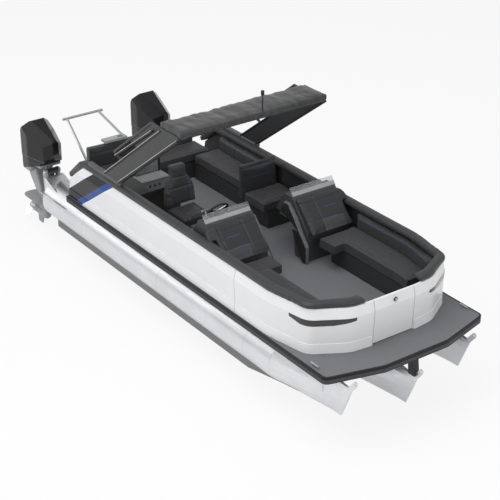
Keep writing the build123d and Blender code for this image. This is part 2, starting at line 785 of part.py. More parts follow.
def seating():
    """Seat bases, seat cushions and backrests."""
    floor = DECK_TOP
    seat = floor + SEAT_TOP
    base_top = seat - SEAT_THICK
    front = CONSOLE_FRONT_FOOT_X
    pad_top = seat + PAD_RISE
    inner = FENCE_WALL + WALL_GAP
    room = upright(fence_plan(inner), floor, pad_top)
    behind = upright(fence_plan(inner + BACK_THICK), floor, pad_top)
    bases = Part()
    side_pads = Part()
    for name, side in SIDES:
        foot = pair(SEAT_FRONT_Y + SEAT_LIP, FENCE_HALF, side)
        bases += room & block(front + SEAT_LIP, BOW_SEAT_FRONT_X, *foot, floor, base_top)
        run = pair(SEAT_FRONT_Y, FENCE_HALF, side)
        cushion = block(front, BOW_SEAT_FRONT_X, *run, base_top, seat)
        wing = pair(SEAT_WING_Y, SEAT_FRONT_Y, side)
        cushion += block(front, front + SEAT_WING_LONG, *wing, base_top, seat)
        keep(f"bow_seat_{name}", behind & cushion)
        pad = block(front, BOW_SEAT_FRONT_X, *run, base_top + SEAT_GAP, pad_top)
        side_pads += (room & pad) - behind
        outline = (
            (front - BACK_THICK + BOW_BACK_GAP, seat + SEAT_GAP),
            (front, seat + SEAT_GAP),
            (CONSOLE_FRONT_TOP_X + BOW_BACK_HEAD, floor + CONSOLE_TOP),
            (CONSOLE_FRONT_TOP_X - SCREEN_THICK + BOW_BACK_GAP, floor + CONSOLE_TOP),
        )
        tip_y = CONSOLE_Y[1] + BOW_BACK_WING
        perch = floor + FENCE_TOP + BOLSTER_HIGH + SEAT_GAP
        shape = (
            (CONSOLE_Y[0], seat, 0),
            (CONSOLE_Y[1], seat, 0),
            (CONSOLE_Y[1], perch, 0),
            (tip_y, perch, 0),
            (tip_y, floor + CONSOLE_TOP, BOW_BACK_SHOULDER),
            (CONSOLE_Y[0], floor + CONSOLE_TOP, BOW_BACK_CORNER),
        )
        view = rounded([(side * y, z) for y, z, r in shape], [r for y, z, r in shape])
        plane = Plane(origin=(CONSOLE_AFT_X, 0, 0), x_dir=(0, 1, 0), z_dir=(1, 0, 0))
        front_view = extrude(plane * view, CONSOLE_FRONT_FOOT_X - CONSOLE_AFT_X)
        keep(f"bow_back_{name}", across(outline, *pair(CONSOLE_Y[0], tip_y, side)) & front_view)
    keep("bow_side_pads", side_pads)
    x0, x1 = COMPANION_X
    y0, y1 = COMPANION_Y
    bases += block(x0 - BACK_THICK, x1 - SEAT_LIP, y0 + COMPANION_BASE_IN, y1, floor, base_top)
    keep("companion_seat", block(x0, x1, y0, y1, base_top, seat))
    back_top = floor + COMPANION_BACK_TOP
    outline = (
        (x0 - BACK_THICK, base_top),
        (x0 - SEAT_GAP, base_top),
        (x0 - COMPANION_LEAN, back_top),
        (x0 - BACK_THICK, back_top),
    )
    keep("companion_back", across(outline, y0, y1))
    sx0, sx1 = SIDE_SEAT_X
    bases += room & block(sx0, sx1, SEAT_FRONT_Y + SEAT_LIP, FENCE_HALF, floor, base_top)
    keep("side_seat", behind & block(sx0, sx1, SEAT_FRONT_Y, FENCE_HALF, base_top, seat))
    keep("side_back", (room & block(sx0, sx1, SEAT_FRONT_Y, FENCE_HALF, base_top, pad_top)) - behind)
    ax0, ax1 = AFT_SEAT_X
    bases += block(ax0, ax1 - SEAT_LIP, -AFT_HALF, AFT_HALF, floor, base_top)
    keep("aft_seat", block(ax0, ax1, -AFT_HALF, AFT_HALF, base_top, seat))
    aft_top = floor + AFT_BACK_TOP
    keep("aft_back", block(ax0 - BACK_THICK, ax0 - SEAT_GAP, -AFT_HALF, AFT_HALF, floor, aft_top))
    tray = block(ax0 - BACK_THICK, ax0 - SEAT_GAP, *TRAY_Y, aft_top, aft_top + TRAY_THICK)
    cup_x = ax0 - BACK_THICK / 2
    cup_y = TRAY_Y[1] - 2 * CUP_R
    tray -= rod((cup_x, cup_y, aft_top), (cup_x, cup_y, aft_top + TRAY_THICK), CUP_R)
    keep("aft_tray", tray)
    keep("seat_bases", bases)


def counter():
    """Cabinet behind the captain's chair, with its top, a post and a glass panel."""
    x0, x1 = COUNTER_X
    y0, y1 = COUNTER_Y
    top = DECK_TOP + COUNTER_TOP
    cabinet = block(x0, x1, y0, y1, DECK_TOP, top - COUNTER_SLAB)
    slab_top = block(x0 - COUNTER_OVER, x1 + COUNTER_OVER, y0, y1 + COUNTER_OVER, top - COUNTER_SLAB, top)
    keep("counter", cabinet + slab_top)
    post_x = x0 + 2 * POST_R
    post_y = y1 - 2 * POST_R
    post = rod((post_x, post_y, top), (post_x, post_y, top + POST_HIGH), POST_R)
    glass_x = (post_x - GLASS_THICK / 2, post_x + GLASS_THICK / 2)
    glass = block(*glass_x, post_y - GLASS_LONG, post_y, top, top + POST_HIGH)
    keep("counter_screen", post + glass)


def chair():
    """Captain's chair on a swivelling pedestal."""
    low, high = DECK_TOP + CHAIR_SEAT[0], DECK_TOP + CHAIR_SEAT[1]
    foot_top = DECK_TOP + PEDESTAL_FOOT_HIGH
    pedestal = rod((CHAIR_X, CHAIR_Y, DECK_TOP), (CHAIR_X, CHAIR_Y, low - SWIVEL_SPACE), PEDESTAL_R)
    pedestal += rod((CHAIR_X, CHAIR_Y, DECK_TOP), (CHAIR_X, CHAIR_Y, foot_top), PEDESTAL_FOOT_R)
    keep("chair_pedestal", pedestal)
    x0 = CHAIR_X - CHAIR_DEPTH / 2
    x1 = CHAIR_X + CHAIR_DEPTH / 2
    keep("chair_seat", soft(x0, x1, CHAIR_Y - CHAIR_HALF, CHAIR_Y + CHAIR_HALF, low, high, CHAIR_ROUND))
    shoulder = CHAIR_SHOULDER - CHAIR_SEAT[1]
    head = CHAIR_TOP - CHAIR_SEAT[1]
    outline = (
        (-CHAIR_BACK_HALF, 0),
        (CHAIR_BACK_HALF, 0),
        (CHAIR_BACK_HALF, shoulder / 2),
        (CHAIR_HEAD_HALF, shoulder),
        (CHAIR_HEAD_HALF, head),
        (-CHAIR_HEAD_HALF, head),
        (-CHAIR_HEAD_HALF, shoulder),
        (-CHAIR_BACK_HALF, shoulder / 2),
    )
    back = along(outline, -CHAIR_BACK_THICK, 0)
    back = fillet(back.edges().filter_by(Axis.X), CHAIR_ROUND)
    back = Pos(x0 + CHAIR_BACK_FORE, CHAIR_Y, high) * Rot(0, -CHAIR_LEAN, 0) * back
    below = block(x0 - CHAIR_DEPTH, x1, CHAIR_Y - CHAIR_HALF, CHAIR_Y + CHAIR_HALF, low, high)
    keep("chair_back", back - below)


def arch():
    """Raked arch legs with their feet, upper bars and cross beam; the stowed canopy and the light pole."""
    foot_z = DECK_TOP + FENCE_TOP + BOLSTER_HIGH
    leg_foot_z = foot_z + ARCH_FOOT_HIGH
    top_z = DECK_TOP + LEG_TOP_Z
    lean = (LEG_TOP_X[0] - LEG_FOOT_X[0]) / (top_z - leg_foot_z)
    bar_x, bar_rise = BAR_FOOT
    tie_x, tie_rise = BAR_TIE
    bar_top_x = bar_x + lean * (BAR_TOP_Z - bar_rise)
    mesh_x = bar_x + lean * (MESH_FOOT_Z - bar_rise)
    hoop = Part()
    for name, side in SIDES:
        y_range = pair(ARCH_HALF - ARCH_WALL, ARCH_HALF, side)
        hoop += block(*ARCH_FOOT_X, *y_range, foot_z, leg_foot_z)
        hoop += across(
            (
                (LEG_FOOT_X[0], leg_foot_z),
                (LEG_FOOT_X[1], leg_foot_z),
                (LEG_TOP_X[1], top_z),
                (LEG_TOP_X[0], top_z),
            ),
            *y_range,
        )
        y = side * (ARCH_HALF - ARCH_WALL / 2)
        start = (bar_x, y, DECK_TOP + bar_rise)
        end = (bar_top_x, y, DECK_TOP + BAR_TOP_Z)
        hoop += rod(start, end, BAR_R)
        hoop += rod(start, (tie_x, y, DECK_TOP + tie_rise), BAR_R)
        hoop += rod(end, (LEG_TOP_X[1] - BAR_R, y, top_z - BAR_R), BAR_R)
        hoop += across(
            (
                (mesh_x, DECK_TOP + MESH_FOOT_Z),
                (bar_top_x, DECK_TOP + BAR_TOP_Z),
                (LEG_TOP_X[0] + BAR_R, top_z - BAR_R),
                (mesh_x + MESH_WIDE, DECK_TOP + MESH_FOOT_Z - MESH_DROP),
            ),
            y - MESH_THICK / 2,
            y + MESH_THICK / 2,
        )
    hoop += block(*LEG_TOP_X, -ARCH_HALF, ARCH_HALF, top_z, top_z + BEAM_HIGH)
    keep("arch", hoop)
    low, high = DECK_TOP + CANOPY_Z[0], DECK_TOP + CANOPY_Z[1]
    cover = soft(*CANOPY_X, -CANOPY_HALF, CANOPY_HALF, low, high, CANOPY_ROUND)
    keep("canopy", cover - hoop)
    pole_top = high + POLE_HIGH
    pole = rod((POLE_X, POLE_Y, high), (POLE_X, POLE_Y, pole_top), POLE_R)
    pole += rod((POLE_X, POLE_Y, pole_top - POLE_LAMP_HIGH), (POLE_X, POLE_Y, pole_top), POLE_LAMP_R)
    keep("light_pole", pole)


def tow_bar():
    """Bent tube bar at the stern."""
    top_x, top_z = TOW_TOP
    bar = rod((top_x, -TOW_HALF - TOW_OVER, top_z), (top_x, TOW_HALF + TOW_OVER, top_z), TOW_R)
    under = block(top_x, STERN_X, -PLATFORM_HALF, PLATFORM_HALF, PLATFORM_TOP - PLATFORM_THICK, PLATFORM_TOP)
    for side in (-1, 1):
        y = side * TOW_FOOT_HALF
        leg = rod((top_x, side * TOW_HALF, top_z), (TOW_FOOT_X + TOW_SUNK, y, PLATFORM_TOP - TOW_R), TOW_R)
        bar += leg - under
        bar += rod((TOW_FOOT_X, y, PLATFORM_TOP), (TOW_FOOT_X, y, PLATFORM_TOP + TOW_FLANGE), 2 * TOW_R)
    keep("tow_bar", bar)


def brackets(name, y):
    """Clamp bracket on the pod and swivel bracket that tilts in it."""
    cheek = TILT_R + CLAMP_CHEEK
    clamp = Part()
    for s in (-1, 1):
        clamp += across(
            (
                (POD_AFT_X, POD_TOP),
                (POD_AFT_X, TILT_Z - CLAMP_FOOT),
                (POD_AFT_X - CLAMP_FOOT_DEEP, TILT_Z - CLAMP_FOOT),
                (TILT_X - cheek, TILT_Z - cheek),
                (TILT_X - CLAMP_CHEEK, TILT_Z + CLAMP_CHEEK),
                (TILT_X + CLAMP_CHEEK, TILT_Z + CLAMP_CHEEK),
                (POD_AFT_X, TILT_Z),
            ),
            y + s * (CLAMP_HALF - CLAMP_WALL),
            y + s * CLAMP_HALF,
        )
    clamp += rod((TILT_X, y - CLAMP_HALF, TILT_Z), (TILT_X, y + CLAMP_HALF, TILT_Z), TILT_R)
    keep(f"clamp_bracket_{name}", clamp)
    inner = CLAMP_HALF - CLAMP_WALL - CLAMP_GAP
    low, high = SWIVEL_Z
    swivel = rod((TILT_X, y - inner, TILT_Z), (TILT_X, y + inner, TILT_Z), TILT_R + TILT_WALL)
    swivel += rod((STEER_X, y, low), (STEER_X, y, high), STEER_R + STEER_WALL)
    swivel += across(
        (
            (TILT_X - TILT_R, TILT_Z - CLAMP_CHEEK),
            (STEER_X, high),
            (STEER_X, low),
            (STEER_X + STEER_R, low),
            (TILT_X + TILT_R / 2, TILT_Z - CLAMP_CHEEK),
        ),
        y - SWIVEL_HALF,
        y + SWIVEL_HALF,
    )
    swivel -= rod((TILT_X, y - CLAMP_HALF, TILT_Z), (TILT_X, y + CLAMP_HALF, TILT_Z), TILT_R + TILT_RUN)
    swivel -= rod((STEER_X, y, low - YOKE_HIGH), (STEER_X, y, TILT_Z), STEER_R + STEER_RUN)
    keep(f"swivel_bracket_{name}", swivel)


def cowl_plan(y, inset):
    """Cowl outline in plan, inset from its skin."""
    corners = [(STEER_X + x, y - half, r) for x, half, r in COWL_PLAN]
    corners += [(STEER_X + x, y + half, r) for x, half, r in reversed(COWL_PLAN)]
    face = rounded([(x, py) for x, py, r in corners], [r for x, py, r in corners])
    if inset:
        face = offset(face, amount=-inset)
    return face


def cowl_body(y, inset):
    """Cowl form, inset from its skin: its side outline, held inside its plan and its sloping shoulders."""
    points = [(STEER_X + x, COWL_FOOT_Z + z) for x, z, r in COWL_SIDE]
    side = rounded(points, [r for x, z, r in COWL_SIDE])
    if inset:
        side = offset(side, amount=-inset)
    wide = max(half for x, half, r in COWL_PLAN)
    plane = Plane(origin=(0, y + wide, 0), x_dir=(1, 0, 0), z_dir=(0, -1, 0))
    top = COWL_FOOT_Z + max(z for x, z, r in COWL_SIDE)
    body = extrude(plane * side, 2 * wide) & upright(cowl_plan(y, inset), COWL_FOOT_Z, top)
    for s in (-1, 1):
        a, b, c = [Vector(STEER_X + x, y + s * half, COWL_FOOT_Z + z) for x, half, z in COWL_SHOULDER]
        up = (b - a).cross(c - a).normalized() * s
        body = split(body, bisect_by=Plane(origin=a - up * inset, z_dir=up), keep=Keep.BOTTOM)
    return body


def cowl(name, y):
    """Hollow cowl over the powerhead."""
    skin = cowl_body(y, 0)
    mouth = upright(cowl_plan(y, MOUTH_IN), COWL_FOOT_Z, COWL_FOOT_Z + 2 * COWL_WALL)
    keep(f"cowl_{name}", skin - cowl_body(y, COWL_WALL) - mouth)
    x0, x1 = STEER_X + POWERHEAD_X[0], STEER_X + POWERHEAD_X[1]
    top = COWL_FOOT_Z + POWERHEAD_HIGH
    keep(f"powerhead_{name}", block(x0, x1, y - POWERHEAD_HALF, y + POWERHEAD_HALF, COWL_FOOT_Z, top))


def leg(name, y):
    """Pan, spindle, leg, plate, gear case and skeg in one."""
    aft = STEER_X + COWL_PLAN[-1][0]
    wide = max(half for x, half, r in COWL_PLAN)
    throat = STEER_X - PAN_THROAT
    pan = across(
        (
            (aft + PAN_RAKE, PAN_LOW_Z),
            (throat, PAN_LOW_Z),
            (throat + PAN_SLOPE, PAN_THROAT_Z),
            (STEER_X + PAN_FORE, PAN_THROAT_Z),
            (STEER_X + PAN_FORE, COWL_FOOT_Z),
            (aft, COWL_FOOT_Z),
        ),
        y - wide,
        y + wide,
    )
    pan &= upright(cowl_plan(y, PAN_IN), PAN_LOW_Z, COWL_FOOT_Z)
    low = SWIVEL_Z[0]
    yoke_top = low - YOKE_DROP / 2
    spindle = rod((STEER_X, y, yoke_top - YOKE_HIGH), (STEER_X, y, PAN_THROAT_Z + YOKE_HIGH), STEER_R)
    strut_top = PAN_LOW_Z + PAN_SLOPE
    sections = []
    for z, reach, half in ((PLATE_Z, LEG_AFT_FOOT, LEG_FOOT_HALF), (strut_top, LEG_AFT_TOP, LEG_TOP_HALF)):
        middle = Pos(STEER_X - (LEG_FORE + reach) / 2, y, z)
        sections.append(middle * RectangleRounded(reach - LEG_FORE, 2 * half, LEG_ROUND))
    strut = loft(sections)
    yoke_x = (STEER_X - 2 * LEG_FORE, STEER_X + STEER_R)
    yoke = block(*yoke_x, y - LEG_HALF, y + LEG_HALF, yoke_top - YOKE_HIGH, yoke_top)
    neck = across(
        (
            (STEER_X - LEG_FORE, PLATE_Z),
            (STEER_X - LEG_FORE - NECK_IN, GEAR_Z),
            (STEER_X - NECK_AFT + NECK_IN, GEAR_Z),
            (STEER_X - NECK_AFT, PLATE_Z),
        ),
        y - NECK_HALF,
        y + NECK_HALF,
    )
    x0, x1 = STEER_X + PLATE_X[0], STEER_X + PLATE_X[1]
    plate = block(x0, x1, y - PLATE_HALF, y + PLATE_HALF, PLATE_Z - PLATE_THICK, PLATE_Z)
    plate = fillet(plate.edges().filter_by(Axis.Z).sort_by(Axis.X)[:2], PLATE_ROUND)
    gear_aft, gear_fore = STEER_X + GEAR_X[0], STEER_X + GEAR_X[1]
    torpedo = rod((gear_aft, y, GEAR_Z), (gear_fore - GEAR_R, y, GEAR_Z), GEAR_R)
    torpedo += Pos(gear_fore - GEAR_R, y, GEAR_Z) * Sphere(GEAR_R)
    skeg = across(
        (
            (gear_fore - SKEG_FORE[0], GEAR_Z),
            (gear_fore - SKEG_FORE[1], SKEG_FOOT),
            (gear_aft + SKEG_AFT[1], SKEG_FOOT),
            (gear_aft + SKEG_AFT[0], GEAR_Z),
        ),
        y - SKEG_HALF,
        y + SKEG_HALF,
    )
    shaft_end = STEER_X + PROP_X[0] + PROP_SHAFT_SHORT
    shaft = rod((gear_aft + GEAR_R, y, GEAR_Z), (shaft_end, y, GEAR_Z), PROP_SHAFT_R)
    keep(f"leg_{name}", pan + spindle + strut + yoke + neck + plate + torpedo + skeg + shaft)


def propeller(name, y, side):
    """Hub with pitched blades; the two sides turn opposite ways."""
    x0, x1 = STEER_X + PROP_X[0], STEER_X + PROP_X[1]
    solid = rod((x0, y, GEAR_Z), (x1, y, GEAR_Z), PROP_HUB_R)
    span = PROP_R - PROP_HUB_R + BLADE_SUNK
    plane = Plane(origin=(0, BLADE_THICK / 2, 0), x_dir=(1, 0, 0), z_dir=(0, -1, 0))
    for i in range(BLADE_COUNT):
        blade = extrude(plane * Ellipse(BLADE_CHORD / 2, span / 2), BLADE_THICK)
        blade = Pos(0, 0, PROP_R - span / 2) * Rot(0, 0, side * BLADE_PITCH) * blade
        solid += Pos((x0 + x1) / 2, y, GEAR_Z) * Rot(360 / BLADE_COUNT * i, 0, 0) * blade
    bore = rod((x0, y, GEAR_Z), (x1, y, GEAR_Z), PROP_SHAFT_R + PROP_RUN)
    keep(f"propeller_{name}", solid - bore)


def main():
    os.makedirs("parts", exist_ok=True)
    hull()
    fence()
    consoles()
    steering_wheel()
    seating()
    counter()
    chair()
    arch()
    tow_bar()
    for name, side in SIDES:
        y = side * ENGINE_Y
        brackets(name, y)
        cowl(name, y)
        leg(name, y)
        propeller(name, y, side)


main()
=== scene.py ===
"""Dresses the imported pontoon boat: finishes, upholstery, canopy, fittings and a plain studio."""

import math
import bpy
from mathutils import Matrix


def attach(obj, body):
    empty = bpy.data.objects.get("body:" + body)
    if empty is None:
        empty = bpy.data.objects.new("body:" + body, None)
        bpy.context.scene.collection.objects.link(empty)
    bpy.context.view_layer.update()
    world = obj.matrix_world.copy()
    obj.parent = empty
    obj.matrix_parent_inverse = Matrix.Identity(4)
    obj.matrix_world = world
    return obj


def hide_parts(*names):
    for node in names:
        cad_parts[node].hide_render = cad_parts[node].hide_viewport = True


bl_info = {
    "name": "Pontoon Boat Dressing",
    "version": (1, 0, 0),
    "blender": (4, 5, 0),
    "location": "View3D > Sidebar > Pontoon Boat",
    "description": "Finishes, soft goods and small fittings for the pontoon boat, with a plain studio",
    "category": "Object",
}

import bmesh
import bpy
import numpy as np
from bpy.props import FloatProperty, FloatVectorProperty, IntProperty, PointerProperty
from mathutils import Matrix, Vector, noise

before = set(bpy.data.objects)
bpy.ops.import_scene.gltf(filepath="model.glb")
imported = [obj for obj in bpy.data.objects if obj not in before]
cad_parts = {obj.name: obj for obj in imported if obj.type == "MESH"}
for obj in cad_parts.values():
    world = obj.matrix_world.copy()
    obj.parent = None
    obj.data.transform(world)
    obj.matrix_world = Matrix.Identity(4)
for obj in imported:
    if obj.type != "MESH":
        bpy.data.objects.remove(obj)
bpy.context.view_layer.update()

SIDES = (("starboard", -1), ("port", 1))
DIRECTIONS = {
    "down": (0, 0, -1),
    "up": (0, 0, 1),
    "aft": (-1, 0, 0),
    "fore": (1, 0, 0),
    "port": (0, 1, 0),
    "starboard": (0, -1, 0),
}

# Colours that several finishes share.
BLACK = (0.008, 0.008, 0.009)
BRIGHT = (0.70, 0.71, 0.72)
STEEL = (0.55, 0.56, 0.57)

# Grains. Columns: noise scale, detail, strength, height.
FINE_GRAIN = (420.0, 1.0, 0.08, 0.0008)
ORANGE_PEEL = (60.0, 1.0, 0.03, 0.0008)

# Tubes: the welds along them, and painted shade on the outer faces of the strakes, which face down into
# shadow.
WELD_START = 7.3
WELDS_A_METRE = 0.48
WELD_HALF = 0.0035
SHADED_STRAKE_Y = 1.205
SHADED_STRAKE_TOP_Z = -0.112
SHADED_STRAKE_BEND_X = 2.11
SHADED_STRAKE_TAPER = 0.097

# Fence: the stripe and band lie between two values of height less slope times length.
FENCE_OUTER_Y = 1.215
FENCE_BEND_X = 2.58
SWEEP_SLOPE = 0.68
STRIPE_SWEEP = (1.905, 2.02)
BAND_SWEEP = (2.02, 2.285)
JOINT_HALF = 0.0045
LINING_END_Y = 0.42
LINING_TURN = 0.6
RUB_STRIP_Z = (0.412, 0.462)
FASCIA_DARK_BAND_Z = (0.468, 0.492)

# Engines: the painted highlight and the line on the cowl, and the slant between the black pan and the leg.
ENGINE_Y = 1.01
COWL_HIGHLIGHT_X = -4.02
COWL_HIGHLIGHT_BASE_Z = 0.95
COWL_HIGHLIGHT_SLOPE = -0.45
COWL_HIGHLIGHT_HALF = 0.011
COWL_HIGHLIGHT_Z = (0.90, 1.16)
COWL_LINE_Z = (0.672, 0.680)
PAN_SLOPE = -0.34
PAN_LEVEL = 1.772
PAN_LOW_Z = 0.40

# Studio. Lamp columns: name, place, point looked at, size, share of the key power.
SEEN_GLOW = 0.86
GLOSSY_GLOW = 0.35
LAMPS = (
    ("softbox_top", (2.0, -3.5, 11.0), (0.0, 0.0, 0.5), 9.0, 1.0),
    ("softbox_side", (3.0, -14.0, 6.0), (0.0, 0.0, 0.5), 8.0, 0.36),
    ("softbox_bow", (15.0, 2.0, 7.0), (0.0, 0.0, 0.5), 6.0, 0.50),
    ("softbox_quarter", (-10.0, -8.0, 5.5), (0.0, -1.0, 0.0), 8.0, 0.30),
)
CAMERA_PLACE = (14.8363, -10.3361, 9.6456)
CAMERA_YAW = math.radians(35.74)
CAMERA_PITCH = math.radians(27.51)

# Cushions. Columns: size of the even quads, sides on which something holds the cushion, room to swell,
# rounds of easing, fill.
PADS = {
    "bow_seat": (0.018, ("down", "outboard", "aft"), 0.014, 2, 0.75),
    "bow_back": (0.0145, ("aft", "down"), 0.014, 2, 0.8),
    "bow_side_pads": (0.021, ("down", "outboard", "aft"), 0.014, 1, 0.7),
    "companion_seat": (0.0145, ("down", "aft", "port"), 0.014, 3, 0.75),
    "companion_back": (0.0145, ("down", "port"), 0.014, 3, 0.8),
    "side_seat": (0.017, ("down", "port", "aft"), 0.014, 3, 0.75),
    "side_back": (0.017, ("down", "port", "aft"), 0.014, 1, 0.7),
    "aft_seat": (0.019, ("down", "aft"), 0.014, 3, 0.75),
    "aft_back": (0.022, ("down", "aft"), 0.012, 3, 0.7),
    "chair_seat": (0.012, ("down",), 0.016, 3, 0.8),
    "chair_back": (0.0115, ("down",), 0.014, 3, 0.8),
    "bolster": (0.019, ("down",), 0.008, 2, 0.7),
    "canopy": (0.021, ("down",), 0.016, 1, 0.45),
    "console_side_pads": (0.0145, ("outboard", "down"), 0.002, 1, 0.6),
}
COCKPIT_PADS = ("companion_seat", "companion_back", "side_seat", "side_back", "aft_seat", "aft_back")
HELD_TURN = 0.4
HELD_ROOM = -0.0005

# Seams. Columns: axis that the seam crosses, place on it, side of the cushion, and where they differ from
# the usual, depth, half width and a box. A place across the boat is that of the port cushion.
SEAM_DEPTH = 0.009
SEAM_HALF = 0.011
SEAM_TURN = 1.6
BOW_SIDE_BOX = ((1.4, -1.3, 0.7), (2.6, 1.3, 1.2))
SEAMS = {
    "bow_seat": (
        *(("X", 1.80, "up"), ("X", 2.45, "up"), ("Y", 0.90, "up"), ("Y", 0.655, "up", 0.006)),
        ("Z", 0.885, "inboard", 0.006),
    ),
    "bow_back": (
        *(("Y", 0.60, "up", 0.014), ("Y", 0.985, "up", 0.010)),
        *(("Z", 1.285, "fore", 0.012), ("Z", 1.085, "fore", 0.006)),
    ),
    "bow_side_pads": [("X", x, "inboard", SEAM_DEPTH, SEAM_HALF, BOW_SIDE_BOX) for x in (1.80, 2.45)],
    "companion_seat": (("Y", 0.75, "up"), ("X", 0.10, "up", 0.006)),
    "companion_back": (*(("Y", y, "fore", 0.010) for y in (0.52, 0.97)), ("Z", 1.255, "fore", 0.010)),
    "side_seat": (("X", -1.38, "up"), ("X", -0.91, "up"), ("Y", 0.86, "up", 0.006)),
    "side_back": (("X", -1.38, "starboard"), ("X", -0.91, "starboard")),
    "aft_seat": [("Y", y, "up") for y in (-0.48, 0.0, 0.48)],
    "aft_back": (*(("Y", y, "fore") for y in (-0.48, 0.0, 0.48)), ("Z", 1.12, "fore", 0.008)),
    "chair_seat": (*(("Y", y, "up", 0.010) for y in (-0.76, -0.48)), ("X", -0.02, "up", 0.007)),
    "chair_back": (
        *(("Y", y, "fore", 0.010) for y in (-0.76, -0.48)),
        *(("Z", z, "fore", 0.009) for z in (1.28, 1.43)),
    ),
    "bolster": [("X", x, "up", 0.006, 0.012) for x in (-1.0, 0.55, 1.45, 2.6)],
}

# Blue stitched lines. Columns: axis that the line crosses, place on it, half width, box that it stays in.
# Boxes are those of the port cushion.
LINE_HALF = 0.0032
FINE_LINE_HALF = 0.0022
LINES = {
    "bow_back": (
        ("Z", 1.200, LINE_HALF, ((1.0, 0.71, 1.1), (1.5, 0.91, 1.3))),
        ("Z", 1.080, LINE_HALF, ((1.0, 0.62, 1.0), (1.5, 0.87, 1.3))),
    ),
    "bow_side_pads": (("Z", 1.050, FINE_LINE_HALF, ((1.35, -1.2, 1.0), (2.95, 1.2, 1.1))),),
    "companion_back": (
        ("Z", 1.235, LINE_HALF, ((-0.45, 0.60, 1.1), (-0.25, 0.92, 1.3))),
        ("Z", 1.100, LINE_HALF, ((-0.45, 0.58, 1.0), (-0.25, 0.92, 1.3))),
    ),
    "side_back": (("Z", 1.050, FINE_LINE_HALF, ((-1.8, 0.9, 1.0), (-0.5, 1.2, 1.1))),),
    "chair": tuple(
        ("Y", y, LINE_HALF, ((-0.6, -0.9, 1.06), (0.2, -0.3, 1.42))) for y in (-0.775, -0.465)
    ),
}
# Boxes that take the accent colour.
ACCENTS = {"bow_back": (((1.0, 0.612, 0.9), (1.6, 0.975, 1.078)),)}

# The chair's back grows from its seat, and its shoulders are fuller by height.
CHAIR_Y = -0.62
CHAIR_SEAT_Z = 1.00
CHAIR_FULL_Z = (1.25, 1.36, 1.46, 1.56, 1.66)
CHAIR_FULL = (1.0, 1.18, 1.36, 1.20, 1.0)

# Folds of the canopy's cover. Columns: scale, height, stretch.
FOLDS = ((5.0, 0.020, (0.35, 1.6, 0.4)), (16.0, 0.008, (0.5, 1.0, 0.5)))
CANVAS_HEM_Z = 2.470

# Console side pads: the slant that cuts back their feet, and the mesh inlays.
PAD_WAIST = (1.018, 0.0, 0.98)
PAD_SLANT = (-0.880, 0.0, -0.475)
INLAY_PROUD = 0.012
INLAY_DEEP = 0.028
INLAY_TURN = 0.1

# Blocks are (low corner, high corner, ease of the edges), and bars are (start, end, radius, end
# radius, sides).
# Those of a sloping face lie in its frame: up the slope, across the boat, out of the face.
SCREEN_FACE = ((0.984, 0.0, 1.350), (0.914, 0.0, 1.455))
SCREEN_RAILS = (
    ((0.000, 0.354, -0.005), (0.062, 1.086, 0.003), 0.002),
    ((0.004, 0.354, -0.010), (0.020, 1.086, 0.000), 0.003),
)
DASH_FACE = ((0.62, 0.0, 1.06), (0.81, 0.0, 1.35))
DISPLAY = ((0.10, -1.06, -0.004), (0.30, -0.86, 0.020), 0.006)
DISPLAY_GLASS = ((0.115, -1.045, 0.016), (0.285, -0.875, 0.0215), 0.001)
GAUGES = [(0.305, y) for y in (-0.72, -0.60)]
GAUGE_BEZELS = [((up, y, -0.004), (up, y, 0.014), 0.036, 0.033, 24) for up, y in GAUGES]
GAUGE_GLASSES = [((up, y, 0.010), (up, y, 0.0155), 0.028, 0.028, 24) for up, y in GAUGES]
SWITCH_PANEL = ((0.06, -0.47, -0.004), (0.28, -0.36, 0.012), 0.004)
SWITCH_ROWS = [0.075 + 0.04 * row for row in range(5)]
SWITCHES = [((low, -0.455, 0.010), (low + 0.026, -0.375, 0.020), 0.003) for low in SWITCH_ROWS]
THROTTLE_BASE = ((0.84, -1.04, 1.350), (0.93, -0.95, 1.385), 0.010)
THROTTLE = (
    ((0.885, -0.995, 1.380), (0.845, -0.995, 1.475), 0.011, 0.008),
    ((0.845, -1.045, 1.478), (0.845, -0.945, 1.478), 0.016, 0.014),
)
WHEEL_FOOT = (0.7245, -0.660, 1.2195)
WHEEL_OUT = (-0.8365, 0.0, 0.5480)
WHEEL_STANDOFF = 0.07
WHEEL_CAP = ((0, 0, 0.044), (0, 0, 0.054), 0.040, 0.030, 24)
SPOKE_ANGLES = (90, 210, 330)
SPOKE_TRIM = ((0.034, 0.006, 0.0462), (0.152, 0.017, 0.0505), 0.001)

COUNTER_Z = 1.1102
POST_X, POST_Y, POST_TOP_Z = -1.272, -0.378, 1.404
GLASS_END_Y = -0.778
LID = (
    ((-1.30, -0.815, COUNTER_Z), (-1.030, -0.350, 1.120), 0.004),
    ((-1.27, -0.785, 1.118), (-1.055, -0.380, 1.124), 0.003),
)
HOB_AND_RAILS = (
    ((-0.93, -1.05, COUNTER_Z), (-0.79, -0.86, 1.117), 0.004),
    ((POST_X - 0.009, GLASS_END_Y, 1.1202), (POST_X + 0.009, POST_Y, 1.134), 0.002),
    ((POST_X - 0.008, GLASS_END_Y, 1.396), (POST_X + 0.008, POST_Y, 1.405), 0.002),
)
KNOBS_AND_POST = (
    *(((-0.88, y, COUNTER_Z), (-0.88, y, 1.128), 0.019, 0.015) for y in (-0.78, -0.70, -0.62)),
    ((POST_X, POST_Y, COUNTER_Z), (POST_X, POST_Y, POST_TOP_Z), 0.017),
    ((POST_X, POST_Y, POST_TOP_Z), (POST_X, POST_Y, 1.412), 0.020, 0.012),
)

LATCH_X, LATCH_Z = 3.549, 1.048
LATCH_COLLAR = ((LATCH_X - 0.010, 0, LATCH_Z), (LATCH_X + 0.003, 0, LATCH_Z), 0.030, 0.027, 28)
LATCH_CUP = ((LATCH_X, 0, LATCH_Z), (LATCH_X + 0.007, 0, LATCH_Z), 0.021, 0.015, 28)
LATCH_BAR = (
    (LATCH_X + 0.005, -0.013, LATCH_Z - 0.004), (LATCH_X + 0.012, 0.013, LATCH_Z + 0.004), 0.002
)

